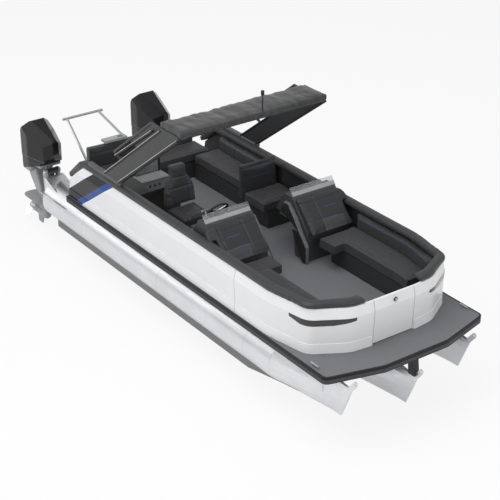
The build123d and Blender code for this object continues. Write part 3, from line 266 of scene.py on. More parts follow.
TREAD_ROWS = [-3.19 + 0.10 * row for row in range(7)]
TREADS = [((x, -0.50, 0.4802), (x + 0.055, 0.50, 0.4832), 0.0012) for x in TREAD_ROWS]

# Arch. Tube columns: foot and head of a tube, along the boat and up, and its radius.
ARCH_TUBES = (
    ((-0.995, 1.250), (0.566, 2.418), 0.017),
    ((-1.388, 1.250), (0.150, 2.418), 0.015),
    ((-1.060, 1.640), (-0.060, 2.351), 0.014),
)
ARCH_INNER_Y, ARCH_OUTER_Y = 1.163, 1.217
# Painted highlight: a thin bright bar along each outer arch tube, where a highlight falls.
HIGHLIGHT_LINE_RADIUS = 0.0045
HIGHLIGHT_LINE_RISE = 0.75
HIGHLIGHT_LINE_OUT = 0.72
ARCH_FOOT = ((-1.868, 1.152, 1.191), (-0.965, 1.228, 1.262), 0.022)
FOOT_BOLT_X, FOOT_BOLT_Y, FOOT_BOLT_Z = -1.02, (1.226, 1.236), 1.226

# Engine fittings. Bolt columns: along the boat, up, radius at the face and tip, sides.
CHEEK_Y = 0.131
BOLT_TALL = 0.012
CLAMP_BOLTS = (
    *((-3.425, z, 0.015, 0.015, 6) for z in (0.30, 0.16, 0.05)),
    (-3.44, 0.48, 0.034, 0.030, 20),
)
RAM_X, RAM_Z = -3.388, 0.526
RAM_HALF, RAM_RADIUS = 0.078, 0.016
RAM_COLLAR, RAM_COLLAR_RADIUS = (0.066, 0.084), 0.019
RAM_FOOT_Y, RAM_FOOT_HALF = 0.048, 0.012


def number_prop(name, description, default, **settings):
    return FloatProperty(name=name, description=description, default=default, **settings)


def length_prop(name, description, default):
    return number_prop(name, description, default, unit="LENGTH", min=0.0)


def colour_prop(name, description, default):
    return FloatVectorProperty(
        name=name, description=description, subtype="COLOR", size=3, min=0.0, max=1.0, default=default
    )


class HullFinish(bpy.types.PropertyGroup):
    """Colours of the tubes, deck and fence."""

    tube: colour_prop("Tubes", "Rolled aluminium of the tubes", (0.80, 0.81, 0.83))
    panel: colour_prop("Panels", "Gloss paint of the fence", (0.84, 0.845, 0.86))
    stripe: colour_prop("Stripe", "Swept stripe at the stern", (0.012, 0.060, 0.26))
    band: colour_prop("Band", "Dark swept band behind the stripe", BLACK)
    deck: colour_prop("Deck", "Woven vinyl flooring", (0.175, 0.180, 0.192))
    fascia: colour_prop("Fascia", "Satin edge around the deck", (0.016, 0.016, 0.018))
    joint: length_prop("Joint", "Place of the joint in the fence panels, along the boat", 1.87)
    lining: length_prop("Lining", "Thickness of the lining inside the fence", 0.006)


class SoftFinish(bpy.types.PropertyGroup):
    """Colours and fullness of the upholstery."""

    vinyl: colour_prop("Vinyl", "Charcoal seat vinyl", (0.036, 0.037, 0.040))
    # Painted shade: the slanted backs take a darker copy of the seat vinyl, standing for the shade on them.
    back: colour_prop("Backs", "Darker vinyl of the slanted backs", (0.024, 0.025, 0.027))
    accent: colour_prop("Accent", "Lighter insert panels", (0.042, 0.044, 0.048))
    rim: colour_prop("Rims", "Pale vinyl around the mesh inlays", (0.12, 0.124, 0.134))
    stitch: colour_prop("Stitch", "Blue stitched lines", (0.040, 0.058, 0.20))
    canvas: colour_prop("Canvas", "Woven cover of the canopy", (0.040, 0.041, 0.044))
    swell: length_prop("Swell", "Furthest that a cushion swells", 0.022)
    shrink: length_prop("Shrink", "How much smaller a cushion starts", 0.010)
    pressure: number_prop("Pressure", "Pressure inside a cushion", 4.0)
    steps: IntProperty(name="Steps", description="Frames that a cushion swells for", default=20, min=1)
    chair_wide: number_prop("Chair", "Breadth of the chair's back over its frame", 1.1)
    chair_tall: number_prop("Chair height", "Height of the chair's back over its frame", 0.94)
    inlay: length_prop("Inlay", "Margin of vinyl around the mesh inlays", 0.045)


class EngineFinish(bpy.types.PropertyGroup):
    """Colours of the outboard engines."""

    cowl: colour_prop("Cowl", "Gloss paint of the cowls", (0.010, 0.010, 0.012))
    silver: colour_prop("Silver", "Satin paint of the legs", (0.34, 0.345, 0.355))
    # Painted highlight: the pale band drawn on the aft edge of each cowl.
    flash: colour_prop("Flash", "Pale flash on the cowls", BRIGHT)


class StudioSetup(bpy.types.PropertyGroup):
    """Camera, floor and lamps."""

    lens: number_prop("Lens", "Focal length on a 36 mm sensor", 102.12, unit="CAMERA")
    floor_z: number_prop("Floor", "Height of the studio floor", -0.605, unit="LENGTH")
    key: number_prop("Key lamp", "Power of the overhead softbox", 700.0, unit="POWER")
    fill: number_prop("Fill", "Strength of the even light all round", 0.50)


def shade(colour, share):
    return [c * share for c in colour]


def mirrored(box, side):
    """Move a box, or a block with its ease, from the port side to the given side."""
    low, high, *rest = box
    near, far = sorted((side * low[1], side * high[1]))
    return (low[0], near, low[2]), (high[0], far, high[2]), *rest


class Finish:
    """Adds shader nodes to one new material."""

    def __init__(self, name, colour, roughness=0.5, metallic=0.0):
        self.material = bpy.data.materials.new(name)
        self.material.use_nodes = True
        self.tree = self.material.node_tree
        self.shader = self.tree.nodes["Principled BSDF"]
        self.colour = tuple(colour) + (1.0,)
        self.set("Base Color", self.colour)
        self.set("Roughness", roughness)
        self.set("Metallic", metallic)
        self.material.diffuse_color = self.colour
        self.place = self.node("ShaderNodeTexCoord").outputs["Object"]
        self.split = None

    def set(self, socket, value):
        self.shader.inputs[socket].default_value = value
        return self

    def node(self, kind, **settings):
        made = self.tree.nodes.new(kind)
        for key, value in settings.items():
            setattr(made, key, value)
        return made

    def join(self, source, target):
        self.tree.links.new(source, target)

    def math(self, operation, first, second=None, third=None):
        made = self.node("ShaderNodeMath", operation=operation)
        for slot, value in enumerate((first, second, third)):
            if value is None:
                continue
            if isinstance(value, (int, float)):
                made.inputs[slot].default_value = value
            else:
                self.join(value, made.inputs[slot])
        return made.outputs[0]

    def times(self, first, second):
        return self.math("MULTIPLY", first, second)

    def above(self, value, level):
        return self.math("GREATER_THAN", value, level)

    def between(self, value, low, high):
        return self.times(self.above(value, low), self.math("LESS_THAN", value, high))

    def near(self, value, middle, half):
        return self.math("LESS_THAN", self.math("ABSOLUTE", self.math("SUBTRACT", value, middle)), half)

    def axis(self, name):
        if self.split is None:
            self.split = self.node("ShaderNodeSeparateXYZ")
            self.join(self.place, self.split.inputs[0])
        return self.split.outputs[name]

    def inside(self, box):
        x, y, z = (self.between(self.axis(name), low, high) for name, low, high in zip("XYZ", *box))
        return self.times(self.times(x, y), z)

    def noise(self, scale, detail=2.0, stretch=None):
        made = self.node("ShaderNodeTexNoise")
        made.inputs["Scale"].default_value = scale
        made.inputs["Detail"].default_value = detail
        place = self.place
        if stretch:
            mapping = self.node("ShaderNodeMapping")
            mapping.inputs["Scale"].default_value = stretch
            self.join(place, mapping.inputs["Vector"])
            place = mapping.outputs["Vector"]
        self.join(place, made.inputs["Vector"])
        return made.outputs["Fac"]

    def cells(self, scale):
        made = self.node("ShaderNodeTexVoronoi", feature="DISTANCE_TO_EDGE")
        made.inputs["Scale"].default_value = scale
        self.join(self.place, made.inputs["Vector"])
        return made.outputs["Distance"]

    def weave(self, scale):
        x, y, z = map(self.axis, "XYZ")
        warp = self.math("SINE", self.times(self.math("ADD", x, z), scale))
        weft = self.math("SINE", self.times(self.math("ADD", y, z), scale))
        return self.times(warp, weft)

    def spread(self, fac, low, high):
        """Stretch the middle of a noise pattern over a range."""
        made = self.node("ShaderNodeMapRange")
        self.join(fac, made.inputs["Value"])
        for socket, value in (("From Min", 0.3), ("From Max", 0.7), ("To Min", low), ("To Max", high)):
            made.inputs[socket].default_value = value
        return made.outputs["Result"]

    def tint(self, fac, colour):
        """Lay a colour over what is there, where fac is 1."""
        mix = self.node("ShaderNodeMix", data_type="RGBA")
        base = self.shader.inputs["Base Color"]
        if base.is_linked:
            self.join(base.links[0].from_socket, mix.inputs["A"])
        else:
            mix.inputs["A"].default_value = self.colour
        mix.inputs["B"].default_value = tuple(colour) + (1.0,)
        self.join(fac, mix.inputs["Factor"])
        self.join(mix.outputs["Result"], base)
        return self

    def mottle(self, fac, amount):
        """Darken the colour in patches by up to an amount."""
        return self.tint(self.spread(fac, 0.0, 1.0), shade(self.colour[:3], 1.0 - amount))

    def rough(self, fac, low, high):
        self.join(self.spread(fac, low, high), self.shader.inputs["Roughness"])
        return self

    def bump(self, height, strength, distance):
        made = self.node("ShaderNodeBump")
        made.inputs["Strength"].default_value = strength
        made.inputs["Distance"].default_value = distance
        self.join(height, made.inputs["Height"])
        before = self.shader.inputs["Normal"]
        if before.is_linked:
            self.join(before.links[0].from_socket, made.inputs["Normal"])
        self.join(made.outputs["Normal"], before)
        return self


def coat(name, colour, roughness, mottle, gloss, grain=None, metallic=0.0):
    """Base coat that varies in colour and gloss, with a fine grain.

    mottle is (noise scale, detail, share), gloss is (noise scale, detail, least and most roughness)
    and grain is (noise scale, detail, strength, height).
    """
    f = Finish(name, colour, roughness, metallic)
    scale, detail, share = mottle
    f.mottle(f.noise(scale, detail), share)
    scale, detail, least, most = gloss
    f.rough(f.noise(scale, detail), least, most)
    if grain:
        scale, detail, strength, height = grain
        f.bump(f.noise(scale, detail), strength, height)
    return f


def tube_metal(colour):
    """Rolled sheet with a drawn grain along the tube, a weld every two metres or so, and painted shade on
    the strakes.
    """
    f = Finish("rolled_aluminium", colour, 0.34, 0.92)
    grain = f.noise(9.0, 3.0, (0.35, 6.0, 6.0))
    f.mottle(f.noise(1.6, 3.0), 0.10)
    f.rough(grain, 0.26, 0.42)
    x, y, z = map(f.axis, "XYZ")
    pitch = f.math("FRACT", f.times(f.math("ADD", x, WELD_START), WELDS_A_METRE))
    f.tint(f.times(f.near(pitch, 0.5, WELD_HALF), 0.35), shade(colour, 0.55))
    # Painted shade: the outer face of each strake, below its top, is darkened for the shadow it lies in.
    taper = f.times(f.math("MAXIMUM", f.math("SUBTRACT", x, SHADED_STRAKE_BEND_X), 0.0), SHADED_STRAKE_TAPER)
    outer = f.above(f.math("ADD", f.math("ABSOLUTE", y), taper), SHADED_STRAKE_Y)
    f.tint(f.times(outer, f.math("LESS_THAN", z, SHADED_STRAKE_TOP_Z)), shade(colour, 0.24))
    return f.bump(grain, 0.06, 0.002).material


def plain_metal(name, colour, roughness, metallic=0.9):
    """Drawn metal with a little variation in its gloss."""
    gloss = (22.0, 3.0, roughness * 0.8, roughness * 1.25)
    grain = (140.0, 2.0, 0.05, 0.001)
    return coat(name, colour, roughness, (6.0, 3.0, 0.08), gloss, grain, metallic).material


def satin_paint(name, colour, roughness=0.42):
    """Powder coat with a fine texture."""
    gloss = (30.0, 2.0, roughness * 0.85, roughness * 1.2)
    return coat(name, colour, roughness, (4.0, 3.0, 0.12), gloss, FINE_GRAIN).material


def gloss_paint(name, colour, roughness=0.16):
    """Gloss paint under a clear coat, with faint orange peel."""
    gloss = (14.0, 2.0, roughness * 0.8, roughness * 1.3)
    f = coat(name, colour, roughness, (2.0, 2.0, 0.05), gloss, ORANGE_PEEL)
    return f.set("Coat Weight", 0.6).set("Coat Roughness", 0.06).material


def moulded_plastic(name, colour, roughness=0.55):
    """Moulded plastic with a pebbled skin."""
    gloss = (40.0, 2.0, roughness * 0.85, roughness * 1.15)
    f = coat(name, colour, roughness, (7.0, 3.0, 0.14), gloss)
    return f.bump(f.cells(260.0), 0.12, 0.0006).material


def panel_paint(look):
    """Fence paint with the swept stripe and band across the outer face near the stern."""
    grain = (50.0, 1.0, 0.02, 0.0008)
    f = coat("fence_paint", look.panel, 0.20, (1.1, 2.0, 0.03), (12.0, 2.0, 0.16, 0.26), grain)
    f.set("Specular IOR Level", 0.25).set("Coat Weight", 0.08).set("Coat Roughness", 0.08)
    x, y, z = map(f.axis, "XYZ")
    sweep = f.math("SUBTRACT", z, f.times(x, SWEEP_SLOPE))
    outer = f.above(f.math("ABSOLUTE", y), FENCE_OUTER_Y)
    f.tint(f.times(outer, f.between(sweep, *BAND_SWEEP)), look.band)
    f.tint(f.times(outer, f.between(sweep, *STRIPE_SWEEP)), look.stripe)
    f.tint(f.times(f.near(x, look.joint, JOINT_HALF), outer), shade(look.panel, 0.5))
    return f.material


def woven_floor(colour):
    """Woven vinyl flooring with faint lengthwise ribs."""
    f = Finish("woven_floor", colour, 0.72)
    f.mottle(f.noise(2.2, 4.0), 0.10)
    f.tint(f.spread(f.noise(300.0, 2.0), 0.0, 0.5), shade(colour, 0.72))
    ribs = f.math("SINE", f.times(f.axis("Y"), 420.0))
    f.bump(ribs, 0.10, 0.001)
    return f.bump(f.weave(900.0), 0.18, 0.0008).material


def fascia_trim(colour):
    """Extruded deck edge: dark satin with a lighter rub strip under a darker band."""
    grain = (200.0, 2.0, 0.05, 0.0008)
    f = coat("deck_edge", colour, 0.55, (3.0, 3.0, 0.15), (18.0, 2.0, 0.48, 0.62), grain)
    f.set("Specular IOR Level", 0.3)
    f.tint(f.between(f.axis("Z"), *RUB_STRIP_Z), shade(colour, 3.4))
    # A darker band above the rub strip.
    return f.tint(f.between(f.axis("Z"), *FASCIA_DARK_BAND_Z), shade(colour, 0.4)).material


def vinyl(name, colour, look=None, kind=None, side=1):
    """Seat vinyl with a leather grain, and the lines and accents of a kind of cushion."""
    f = coat(name, colour, 0.46, (3.5, 4.0, 0.16), (16.0, 3.0, 0.40, 0.56))
    f.set("Specular IOR Level", 0.42).set("Sheen Weight", 0.12)
    for box in ACCENTS.get(kind, ()):
        f.tint(f.inside(mirrored(box, side)), look.accent)
    for axis, place, half, box in LINES.get(kind, ()):
        on_line = f.between(f.axis(axis), place - half, place + half)
        f.tint(f.times(f.inside(mirrored(box, side)), on_line), look.stitch)
    f.bump(f.cells(330.0), 0.16, 0.0007)
    return f.bump(f.noise(11.0, 3.0), 0.10, 0.004).material


def open_mesh(colour):
    """Dark mesh of small round holes."""
    f = Finish("open_mesh", colour, 0.62)
    threads = f.weave(420.0)
    f.tint(f.above(threads, 0.35), shade(colour, 0.25))
    f.rough(f.noise(30.0, 2.0), 0.52, 0.72)
    return f.bump(threads, 0.5, 0.002).material


def cowl_paint(colour, trim):
    """Gloss cowl with a painted highlight, a pale slanting band on its aft edge, and a line low down."""
    f = coat("cowl_gloss", colour, 0.14, (2.0, 2.0, 0.05), (14.0, 2.0, 0.11, 0.18), ORANGE_PEEL)
    f.set("Specular IOR Level", 0.20).set("Coat Weight", 0.20).set("Coat Roughness", 0.06)
    x, z = map(f.axis, "XZ")
    # Painted highlight: a pale slanting band on the aft edge, in the trim colour.
    rise, aft = f.math("SUBTRACT", z, COWL_HIGHLIGHT_BASE_Z), f.math("SUBTRACT", x, COWL_HIGHLIGHT_X)
    bend = f.math("MULTIPLY_ADD", rise, COWL_HIGHLIGHT_SLOPE, aft)
    f.tint(f.times(f.between(bend, -COWL_HIGHLIGHT_HALF, COWL_HIGHLIGHT_HALF), f.between(z, *COWL_HIGHLIGHT_Z)), trim)
    return f.tint(f.between(z, *COWL_LINE_Z), shade(trim, 0.18)).material


def leg_paint(colour, dark):
    """Satin leg below a black pan, parted along a slanting line."""
    f = coat("engine_silver", colour, 0.34, (4.0, 3.0, 0.12), (30.0, 2.0, 0.26, 0.40), FINE_GRAIN)
    x, z = map(f.axis, "XZ")
    over = f.above(f.math("MULTIPLY_ADD", x, PAN_SLOPE, z), PAN_LEVEL)
    return f.tint(f.times(over, f.above(z, PAN_LOW_Z)), dark).material


def woven_canvas(colour):
    """Woven cover cloth with soft creases and a dark hem."""
    f = Finish("cover_canvas", colour, 0.88)
    f.set("Sheen Weight", 0.35)
    f.mottle(f.noise(2.4, 5.0), 0.30)
    f.tint(f.math("LESS_THAN", f.axis("Z"), CANVAS_HEM_Z), shade(colour, 0.2))
    f.bump(f.weave(1500.0), 0.25, 0.0007)
    return f.bump(f.noise(7.0, 4.0, (1.0, 0.35, 1.0)), 0.35, 0.012).material


def clear_sheet(name, colour, through):
    """Clear sheet with a slight tint, thin enough not to bend what is behind it."""
    f = Finish(name, colour, 0.0)
    f.set("Transmission Weight", through).set("IOR", 1.03)
    return f.mottle(f.noise(1.5, 2.0), 0.06).material


def both(stem):
    return [f"{stem}_{name}" for name, side in SIDES]


# Rigid finishes with colours of their own. Columns: maker, name, colour, the rest of the call, CAD nodes.
RIGID_FINISHES = (
    (plain_metal, "channel_metal", (0.62, 0.63, 0.65), (0.40,), ["cross_channels"]),
    (satin_paint, "bracket_black", (0.012, 0.012, 0.013), (), ["nose_bracket"]),
    (plain_metal, "polished_steel", (0.72, 0.73, 0.74), (0.16, 1.0), ["cleats", "tow_bar"]),
    (satin_paint, "pole_black", BLACK, (), ["light_pole"]),
    (plain_metal, "pedestal_steel", STEEL, (0.22, 1.0), ["chair_pedestal"]),
    (moulded_plastic, "platform_grip", (0.20, 0.205, 0.215), (0.7,), ["swim_platform"]),
    (gloss_paint, "smoked_lens", (0.006, 0.006, 0.007), (0.08,), ["bow_lamps"]),
    (moulded_plastic, "console_moulding", (0.050, 0.051, 0.054), (), ["helm_console", "port_console"]),
    (clear_sheet, "screen_clear", (0.66, 0.68, 0.70), (0.85,), ["console_screens"]),
    (moulded_plastic, "seat_base_moulding", (0.030, 0.031, 0.033), (), ["seat_bases"]),
    (moulded_plastic, "counter_moulding", (0.032, 0.033, 0.035), (0.5,), ["counter"]),
    (moulded_plastic, "tray_moulding", (0.38, 0.385, 0.39), (0.5,), ["aft_tray"]),
    (clear_sheet, "counter_glass", (0.50, 0.52, 0.54), (0.80,), ["counter_screen"]),
    (moulded_plastic, "wheel_grip", (0.012, 0.012, 0.012), (0.5,), ["steering_wheel"]),
    (satin_paint, "arch_coat", (0.030, 0.031, 0.033), (0.38,), ["arch"]),
    (plain_metal, "cast_block", (0.10, 0.10, 0.105), (0.6,), both("powerhead")),
    (plain_metal, "propeller_steel", (0.58, 0.58, 0.60), (0.24, 1.0), both("propeller")),
)


def dress(material, *names):
    """Give CAD nodes a finish."""
    for name in names:
        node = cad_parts[name]
        if node.material_slots:
            node.material_slots[0].material = material
        else:
            node.data.materials.append(material)


def settle(obj, body, material):
    """Put a finished piece on its body, with its material."""
    obj.data.materials.clear()
    obj.data.materials.append(material)
    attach(obj, body)
    return obj


def object_from(bm, name, smooth=True):
    """Turn a bmesh into an object at the origin."""
    mesh = bpy.data.meshes.new(name)
    bm.to_mesh(mesh)
    bm.free()
    mesh.polygons.foreach_set("use_smooth", [smooth] * len(mesh.polygons))
    made = bpy.data.objects.new(name, mesh)
    bpy.context.scene.collection.objects.link(made)
    return made


def coords(mesh):
    points = np.empty(len(mesh.vertices) * 3)
    mesh.vertices.foreach_get("co", points)
    return points.reshape(-1, 3)


def set_coords(mesh, points):
    mesh.vertices.foreach_set("co", np.ascontiguousarray(points).ravel())
    mesh.update()


def normals(mesh):
    out = np.empty(len(mesh.vertices) * 3)
    mesh.vertex_normals.foreach_get("vector", out)
    return out.reshape(-1, 3)


def turned(points, out, direction):
    """Say how far each normal turns to a direction, from -1 to 1."""
    if direction in ("inboard", "outboard"):
        away = out[:, 1] * np.sign(points[:, 1])
        return away if direction == "outboard" else -away
    return out @ np.array(DIRECTIONS[direction], float)


def node_mesh(node):
    """Copy a CAD node's mesh into a bmesh, in the row frame."""
    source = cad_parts[node]
    bm = bmesh.new()
    bm.from_mesh(source.data)
    bmesh.ops.transform(bm, matrix=source.matrix_world, verts=bm.verts)
    bmesh.ops.remove_doubles(bm, verts=bm.verts, dist=0.0001)
    bmesh.ops.recalc_face_normals(bm, faces=bm.faces)
    return bm


def whole(bm):
    return bm.verts[:] + bm.edges[:] + bm.faces[:]


def leaning(foot, head):
    """Make the frame of a sloping face: up the slope, across the boat, out of the face."""
    up = (Vector(head) - Vector(foot)).normalized()
    out = Vector((-up.z, 0.0, up.x))
    return Matrix.Translation(foot) @ Matrix((up, (0, 1, 0), out)).transposed().to_4x4()


def add_bar(bm, start, end, radius, end_radius=None, segments=16):
    """Add a capped round bar from one point to another."""
    start, end = Vector(start), Vector(end)
    way = end - start
    place = Matrix.Translation((start + end) / 2) @ way.to_track_quat("Z", "Y").to_matrix().to_4x4()
    bmesh.ops.create_cone(
        bm,
        cap_ends=True,
        segments=segments,
        radius1=radius,
        radius2=radius if end_radius is None else end_radius,
        depth=way.length,
        matrix=place,
    )


def add_block(bm, low, high, ease=0.002, place=Matrix()):
    """Add a box between two corners, with eased edges."""
    made = bmesh.ops.create_cube(bm, size=1.0)["verts"]
    bmesh.ops.scale(bm, verts=made, vec=[b - a for a, b in zip(low, high)])
    bmesh.ops.translate(bm, verts=made, vec=[(a + b) / 2 for a, b in zip(low, high)])
    bmesh.ops.transform(bm, matrix=place, verts=made)
    edges = list({edge for vert in made for edge in vert.link_edges})
    bmesh.ops.bevel(bm, geom=edges, offset=ease, segments=2, profile=0.5, affect="EDGES", material=-1)


def add_plate(bm, faces, depth):
    """Thicken flat faces along a vector into closed plates."""
    grown = bmesh.ops.extrude_face_region(bm, geom=faces, use_keep_orig=True)["geom"]
    bmesh.ops.translate(bm, verts=[v for v in grown if isinstance(v, bmesh.types.BMVert)], vec=depth)


def built(blocks=(), bars=(), place=Matrix(), bm=None):
    """Build blocks and bars in a frame, in a new bmesh or on one that is there."""
    bm = bm or bmesh.new()
    for low, high, ease in blocks:
        add_block(bm, low, high, ease, place)
    for start, end, *rest in bars:
        add_bar(bm, place @ Vector(start), place @ Vector(end), *rest)
    return bm


def finished(bm, name, body, material, smooth=False):
    """Close a bmesh up and set it on its body as a piece of its own."""
    bmesh.ops.recalc_face_normals(bm, faces=bm.faces)
    return settle(object_from(bm, name, smooth), body, material)


def even_mesh(obj, grid):
    """Rebuild an object's mesh from even quads."""
    modifier = obj.modifiers.new("Even quads", "REMESH")
    modifier.mode = "VOXEL"
    modifier.voxel_size = grid
    shown = obj.evaluated_get(bpy.context.evaluated_depsgraph_get())
    mesh = bpy.data.meshes.new_from_object(shown)
    obj.modifiers.clear()
    worn = obj.data
    obj.data = mesh
    bpy.data.meshes.remove(worn)


def soften(obj, rounds):
    """Ease the corners of an object's mesh."""
    bm = bmesh.new()
    bm.from_mesh(obj.data)
    for turn in range(rounds):
        bmesh.ops.smooth_vert(
            bm, verts=bm.verts, factor=0.5, use_axis_x=True, use_axis_y=True, use_axis_z=True
        )
    bm.to_mesh(obj.data)
    bm.free()


class Pad:
    """One cushion: the CAD node that it covers, its mesh, and the room that each point has to swell."""

    def __init__(self, kind, name="", side=1, cut=None):
        grid, held_on, crown, rounds, self.fill = PADS[kind]
        self.kind, self.side = kind, side
        self.node = f"{kind}_{name}" if name else kind
        self.obj = object_from(cut or node_mesh(self.node), f"{self.node}_cushion")
        even_mesh(self.obj, grid)
        soften(self.obj, rounds)
        self.skin = coords(self.obj.data)
        self.out = normals(self.obj.data)
        held = np.zeros(len(self.skin))
        for direction in held_on:
            held = np.maximum(held, turned(self.skin, self.out, direction))
        self.room = np.where(held > HELD_TURN, HELD_ROOM, crown)

    def shrink(self, amount):
        set_coords(self.obj.data, self.skin - self.out * amount)

    def hold(self, points):
        """Keep the points under the cushion's room above its CAD skin."""
        over = np.einsum("ij,ij->i", points - self.skin, self.out) - self.room
        set_coords(self.obj.data, points - self.out * np.maximum(over, 0.0)[:, None])

    def stitch(self, axis, place, facing, depth=SEAM_DEPTH, half=SEAM_HALF, box=None):
        """Draw in a seam across an axis, on the side that faces a direction, inside a box."""
        points = coords(self.obj.data)
        out = normals(self.obj.data)
        gap = points[:, "XYZ".index(axis)] - place * (self.side if axis == "Y" else 1)
        shown = np.clip(SEAM_TURN * turned(points, out, facing), 0.0, 1.0)
        pull = depth * np.exp(-((gap / half) ** 2)) * shown
        if box is not None:
            low, high = np.array(box)
            pull *= np.all((points > low) & (points < high), axis=1)
        set_coords(self.obj.data, points - out * pull[:, None])

    def wrinkle(self, scale, height, stretch):
        """Raise soft folds by a noise pattern."""
        points = coords(self.obj.data)
        out = normals(self.obj.data)
        places = points * np.array(stretch, float) * scale
        rise = np.array([noise.noise(Vector(p)) for p in places])
        set_coords(self.obj.data, points + out * (height * rise)[:, None])

    def finish(self, material, body="hull", slot="dark_vinyl"):
        """Sew the seams, smooth the skin and put the cushion in the place of its CAD node."""
        for seam in SEAMS.get(self.kind, ()):
            self.stitch(*seam)
        smoother = self.obj.modifiers.new("Smooth skin", "SUBSURF")
        smoother.levels = 1
        smoother.render_levels = 1
        self.obj.data.polygons.foreach_set("use_smooth", [True] * len(self.obj.data.polygons))
        settle(self.obj, body, material)
        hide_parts(self.node)


def swell(pads, look):
    """Blow cushions up a little with cloth pressure, and cap how far each point moves."""
    for pad in pads:
        pad.shrink(look.shrink)
    scene = bpy.context.scene
    for pad in pads:
        cloth = pad.obj.modifiers.new("Pressure", "CLOTH")
        cloth.point_cache.frame_start = 1
        cloth.point_cache.frame_end = look.steps
        rules = cloth.settings
        rules.quality = 4
        rules.use_pressure = True
        rules.uniform_pressure_force = look.pressure
        rules.effector_weights.gravity = 0.0
    for step in range(1, look.steps + 1):
        scene.frame_set(step)
    shown = bpy.context.evaluated_depsgraph_get()
    for pad in pads:
        puffed = coords(pad.obj.evaluated_get(shown).data)
        start = coords(pad.obj.data)
        move = puffed - start
        far = np.linalg.norm(move, axis=1, keepdims=True)
        move *= np.minimum(1.0, look.swell / np.maximum(far, 1e-9))
        pad.obj.modifiers.clear()
        pad.hold(start + move)
    scene.frame_set(1)


def aim(made, place, ahead):
    """Put a lamp or camera in its place, looking ahead."""
    made.location = place
    made.rotation_euler = Vector(ahead).to_track_quat("-Z", "Y").to_euler()
    bpy.context.scene.collection.objects.link(made)


class BOAT_OT_stage(bpy.types.Operator):
    """Set up the floor, the soft light and the camera"""

    bl_idname = "boat.stage"
    bl_label = "Studio"

    def execute(self, context):
        look = context.scene.boat_studio
        context.scene.view_settings.view_transform = "Standard"
        self.add_floor(look)
        self.add_world(context.scene, look)
        self.add_lamps(look)
        self.add_camera(context.scene, look)
        return {"FINISHED"}

    def add_floor(self, look):
        bm = bmesh.new()
        bmesh.ops.create_circle(bm, cap_ends=True, radius=120.0, segments=96)
        bmesh.ops.translate(bm, verts=bm.verts, vec=(0, 0, look.floor_z))
        floor = object_from(bm, "studio_floor", smooth=False)
        f = Finish("studio_floor", (0.86, 0.86, 0.86), roughness=0.9)
        path = f.node("ShaderNodeLightPath").outputs
        seen = f.math("MAXIMUM", path["Is Camera Ray"], path["Is Transmission Ray"])
        glossed = f.times(path["Is Glossy Ray"], GLOSSY_GLOW)
        glow = f.node("ShaderNodeEmission")
        glow.inputs["Color"].default_value = (1, 1, 1, 1)
        glow.inputs["Strength"].default_value = 1.0
        mix = f.node("ShaderNodeMixShader")
        f.join(f.math("MAXIMUM", f.times(seen, SEEN_GLOW), glossed), mix.inputs["Fac"])
        f.join(f.shader.outputs["BSDF"], mix.inputs[1])
        f.join(glow.outputs["Emission"], mix.inputs[2])
        f.join(mix.outputs["Shader"], f.tree.nodes["Material Output"].inputs["Surface"])
        floor.data.materials.append(f.material)

    def add_world(self, scene, look):
        """Give an even light, and white to the camera and through glass."""
        world = bpy.data.worlds.new("studio")
        scene.world = world
        world.use_nodes = True
        tree = world.node_tree
        sky = tree.nodes["Background"].inputs
        sky["Color"].default_value = (1.0, 1.0, 1.0, 1.0)
        path = tree.nodes.new("ShaderNodeLightPath").outputs
        shown, level = tree.nodes.new("ShaderNodeMath"), tree.nodes.new("ShaderNodeMath")
        shown.operation = level.operation = "MAXIMUM"
        tree.links.new(path["Is Camera Ray"], shown.inputs[0])
        tree.links.new(path["Is Transmission Ray"], shown.inputs[1])
        tree.links.new(shown.outputs[0], level.inputs[0])
        level.inputs[1].default_value = look.fill
        tree.links.new(level.outputs[0], sky["Strength"])

    def add_lamps(self, look):
        for name, place, target, size, share in LAMPS:
            lamp = bpy.data.lights.new(name, "AREA")
            lamp.energy = look.key * share
            lamp.size = size
            aim(bpy.data.objects.new(name, lamp), place, Vector(target) - Vector(place))

    def add_camera(self, scene, look):
        cam = bpy.data.cameras.new("photo_camera")
        cam.lens = look.lens
        cam.sensor_width = 36.0
        cam.clip_end = 400.0
        made = bpy.data.objects.new("photo_camera", cam)
        level = math.cos(CAMERA_PITCH)
        ahead = (-level * math.cos(CAMERA_YAW), level * math.sin(CAMERA_YAW), -math.sin(CAMERA_PITCH))
        aim(made, CAMERA_PLACE, ahead)
        scene.camera = made


class BOAT_OT_finishes(bpy.types.Operator):
    """Give every rigid CAD node its finish"""

    bl_idname = "boat.finishes"
    bl_label = "Rigid finishes"

    def execute(self, context):
        hull = context.scene.boat_hull
        engine = context.scene.boat_engine
        for maker, name, colour, rest, nodes in RIGID_FINISHES:
            dress(maker(name, colour, *rest), *nodes)
        dress(tube_metal(hull.tube), "pontoon_centre", *both("pontoon"), "motor_pods")
        dress(woven_floor(hull.deck), "deck")
        dress(fascia_trim(hull.fascia), "edge_fascia")
        dress(panel_paint(hull), *both("fence"), "bow_gate")
        dress(cowl_paint(engine.cowl, engine.flash), *both("cowl"))
        dress(leg_paint(engine.silver, engine.cowl), *both("leg"))
        dress(satin_paint("clamp_silver", engine.silver, 0.34), *both("clamp_bracket"))
        dress(satin_paint("bracket_dark", shade(engine.silver, 0.2), 0.45), *both("swivel_bracket"))
        return {"FINISHED"}


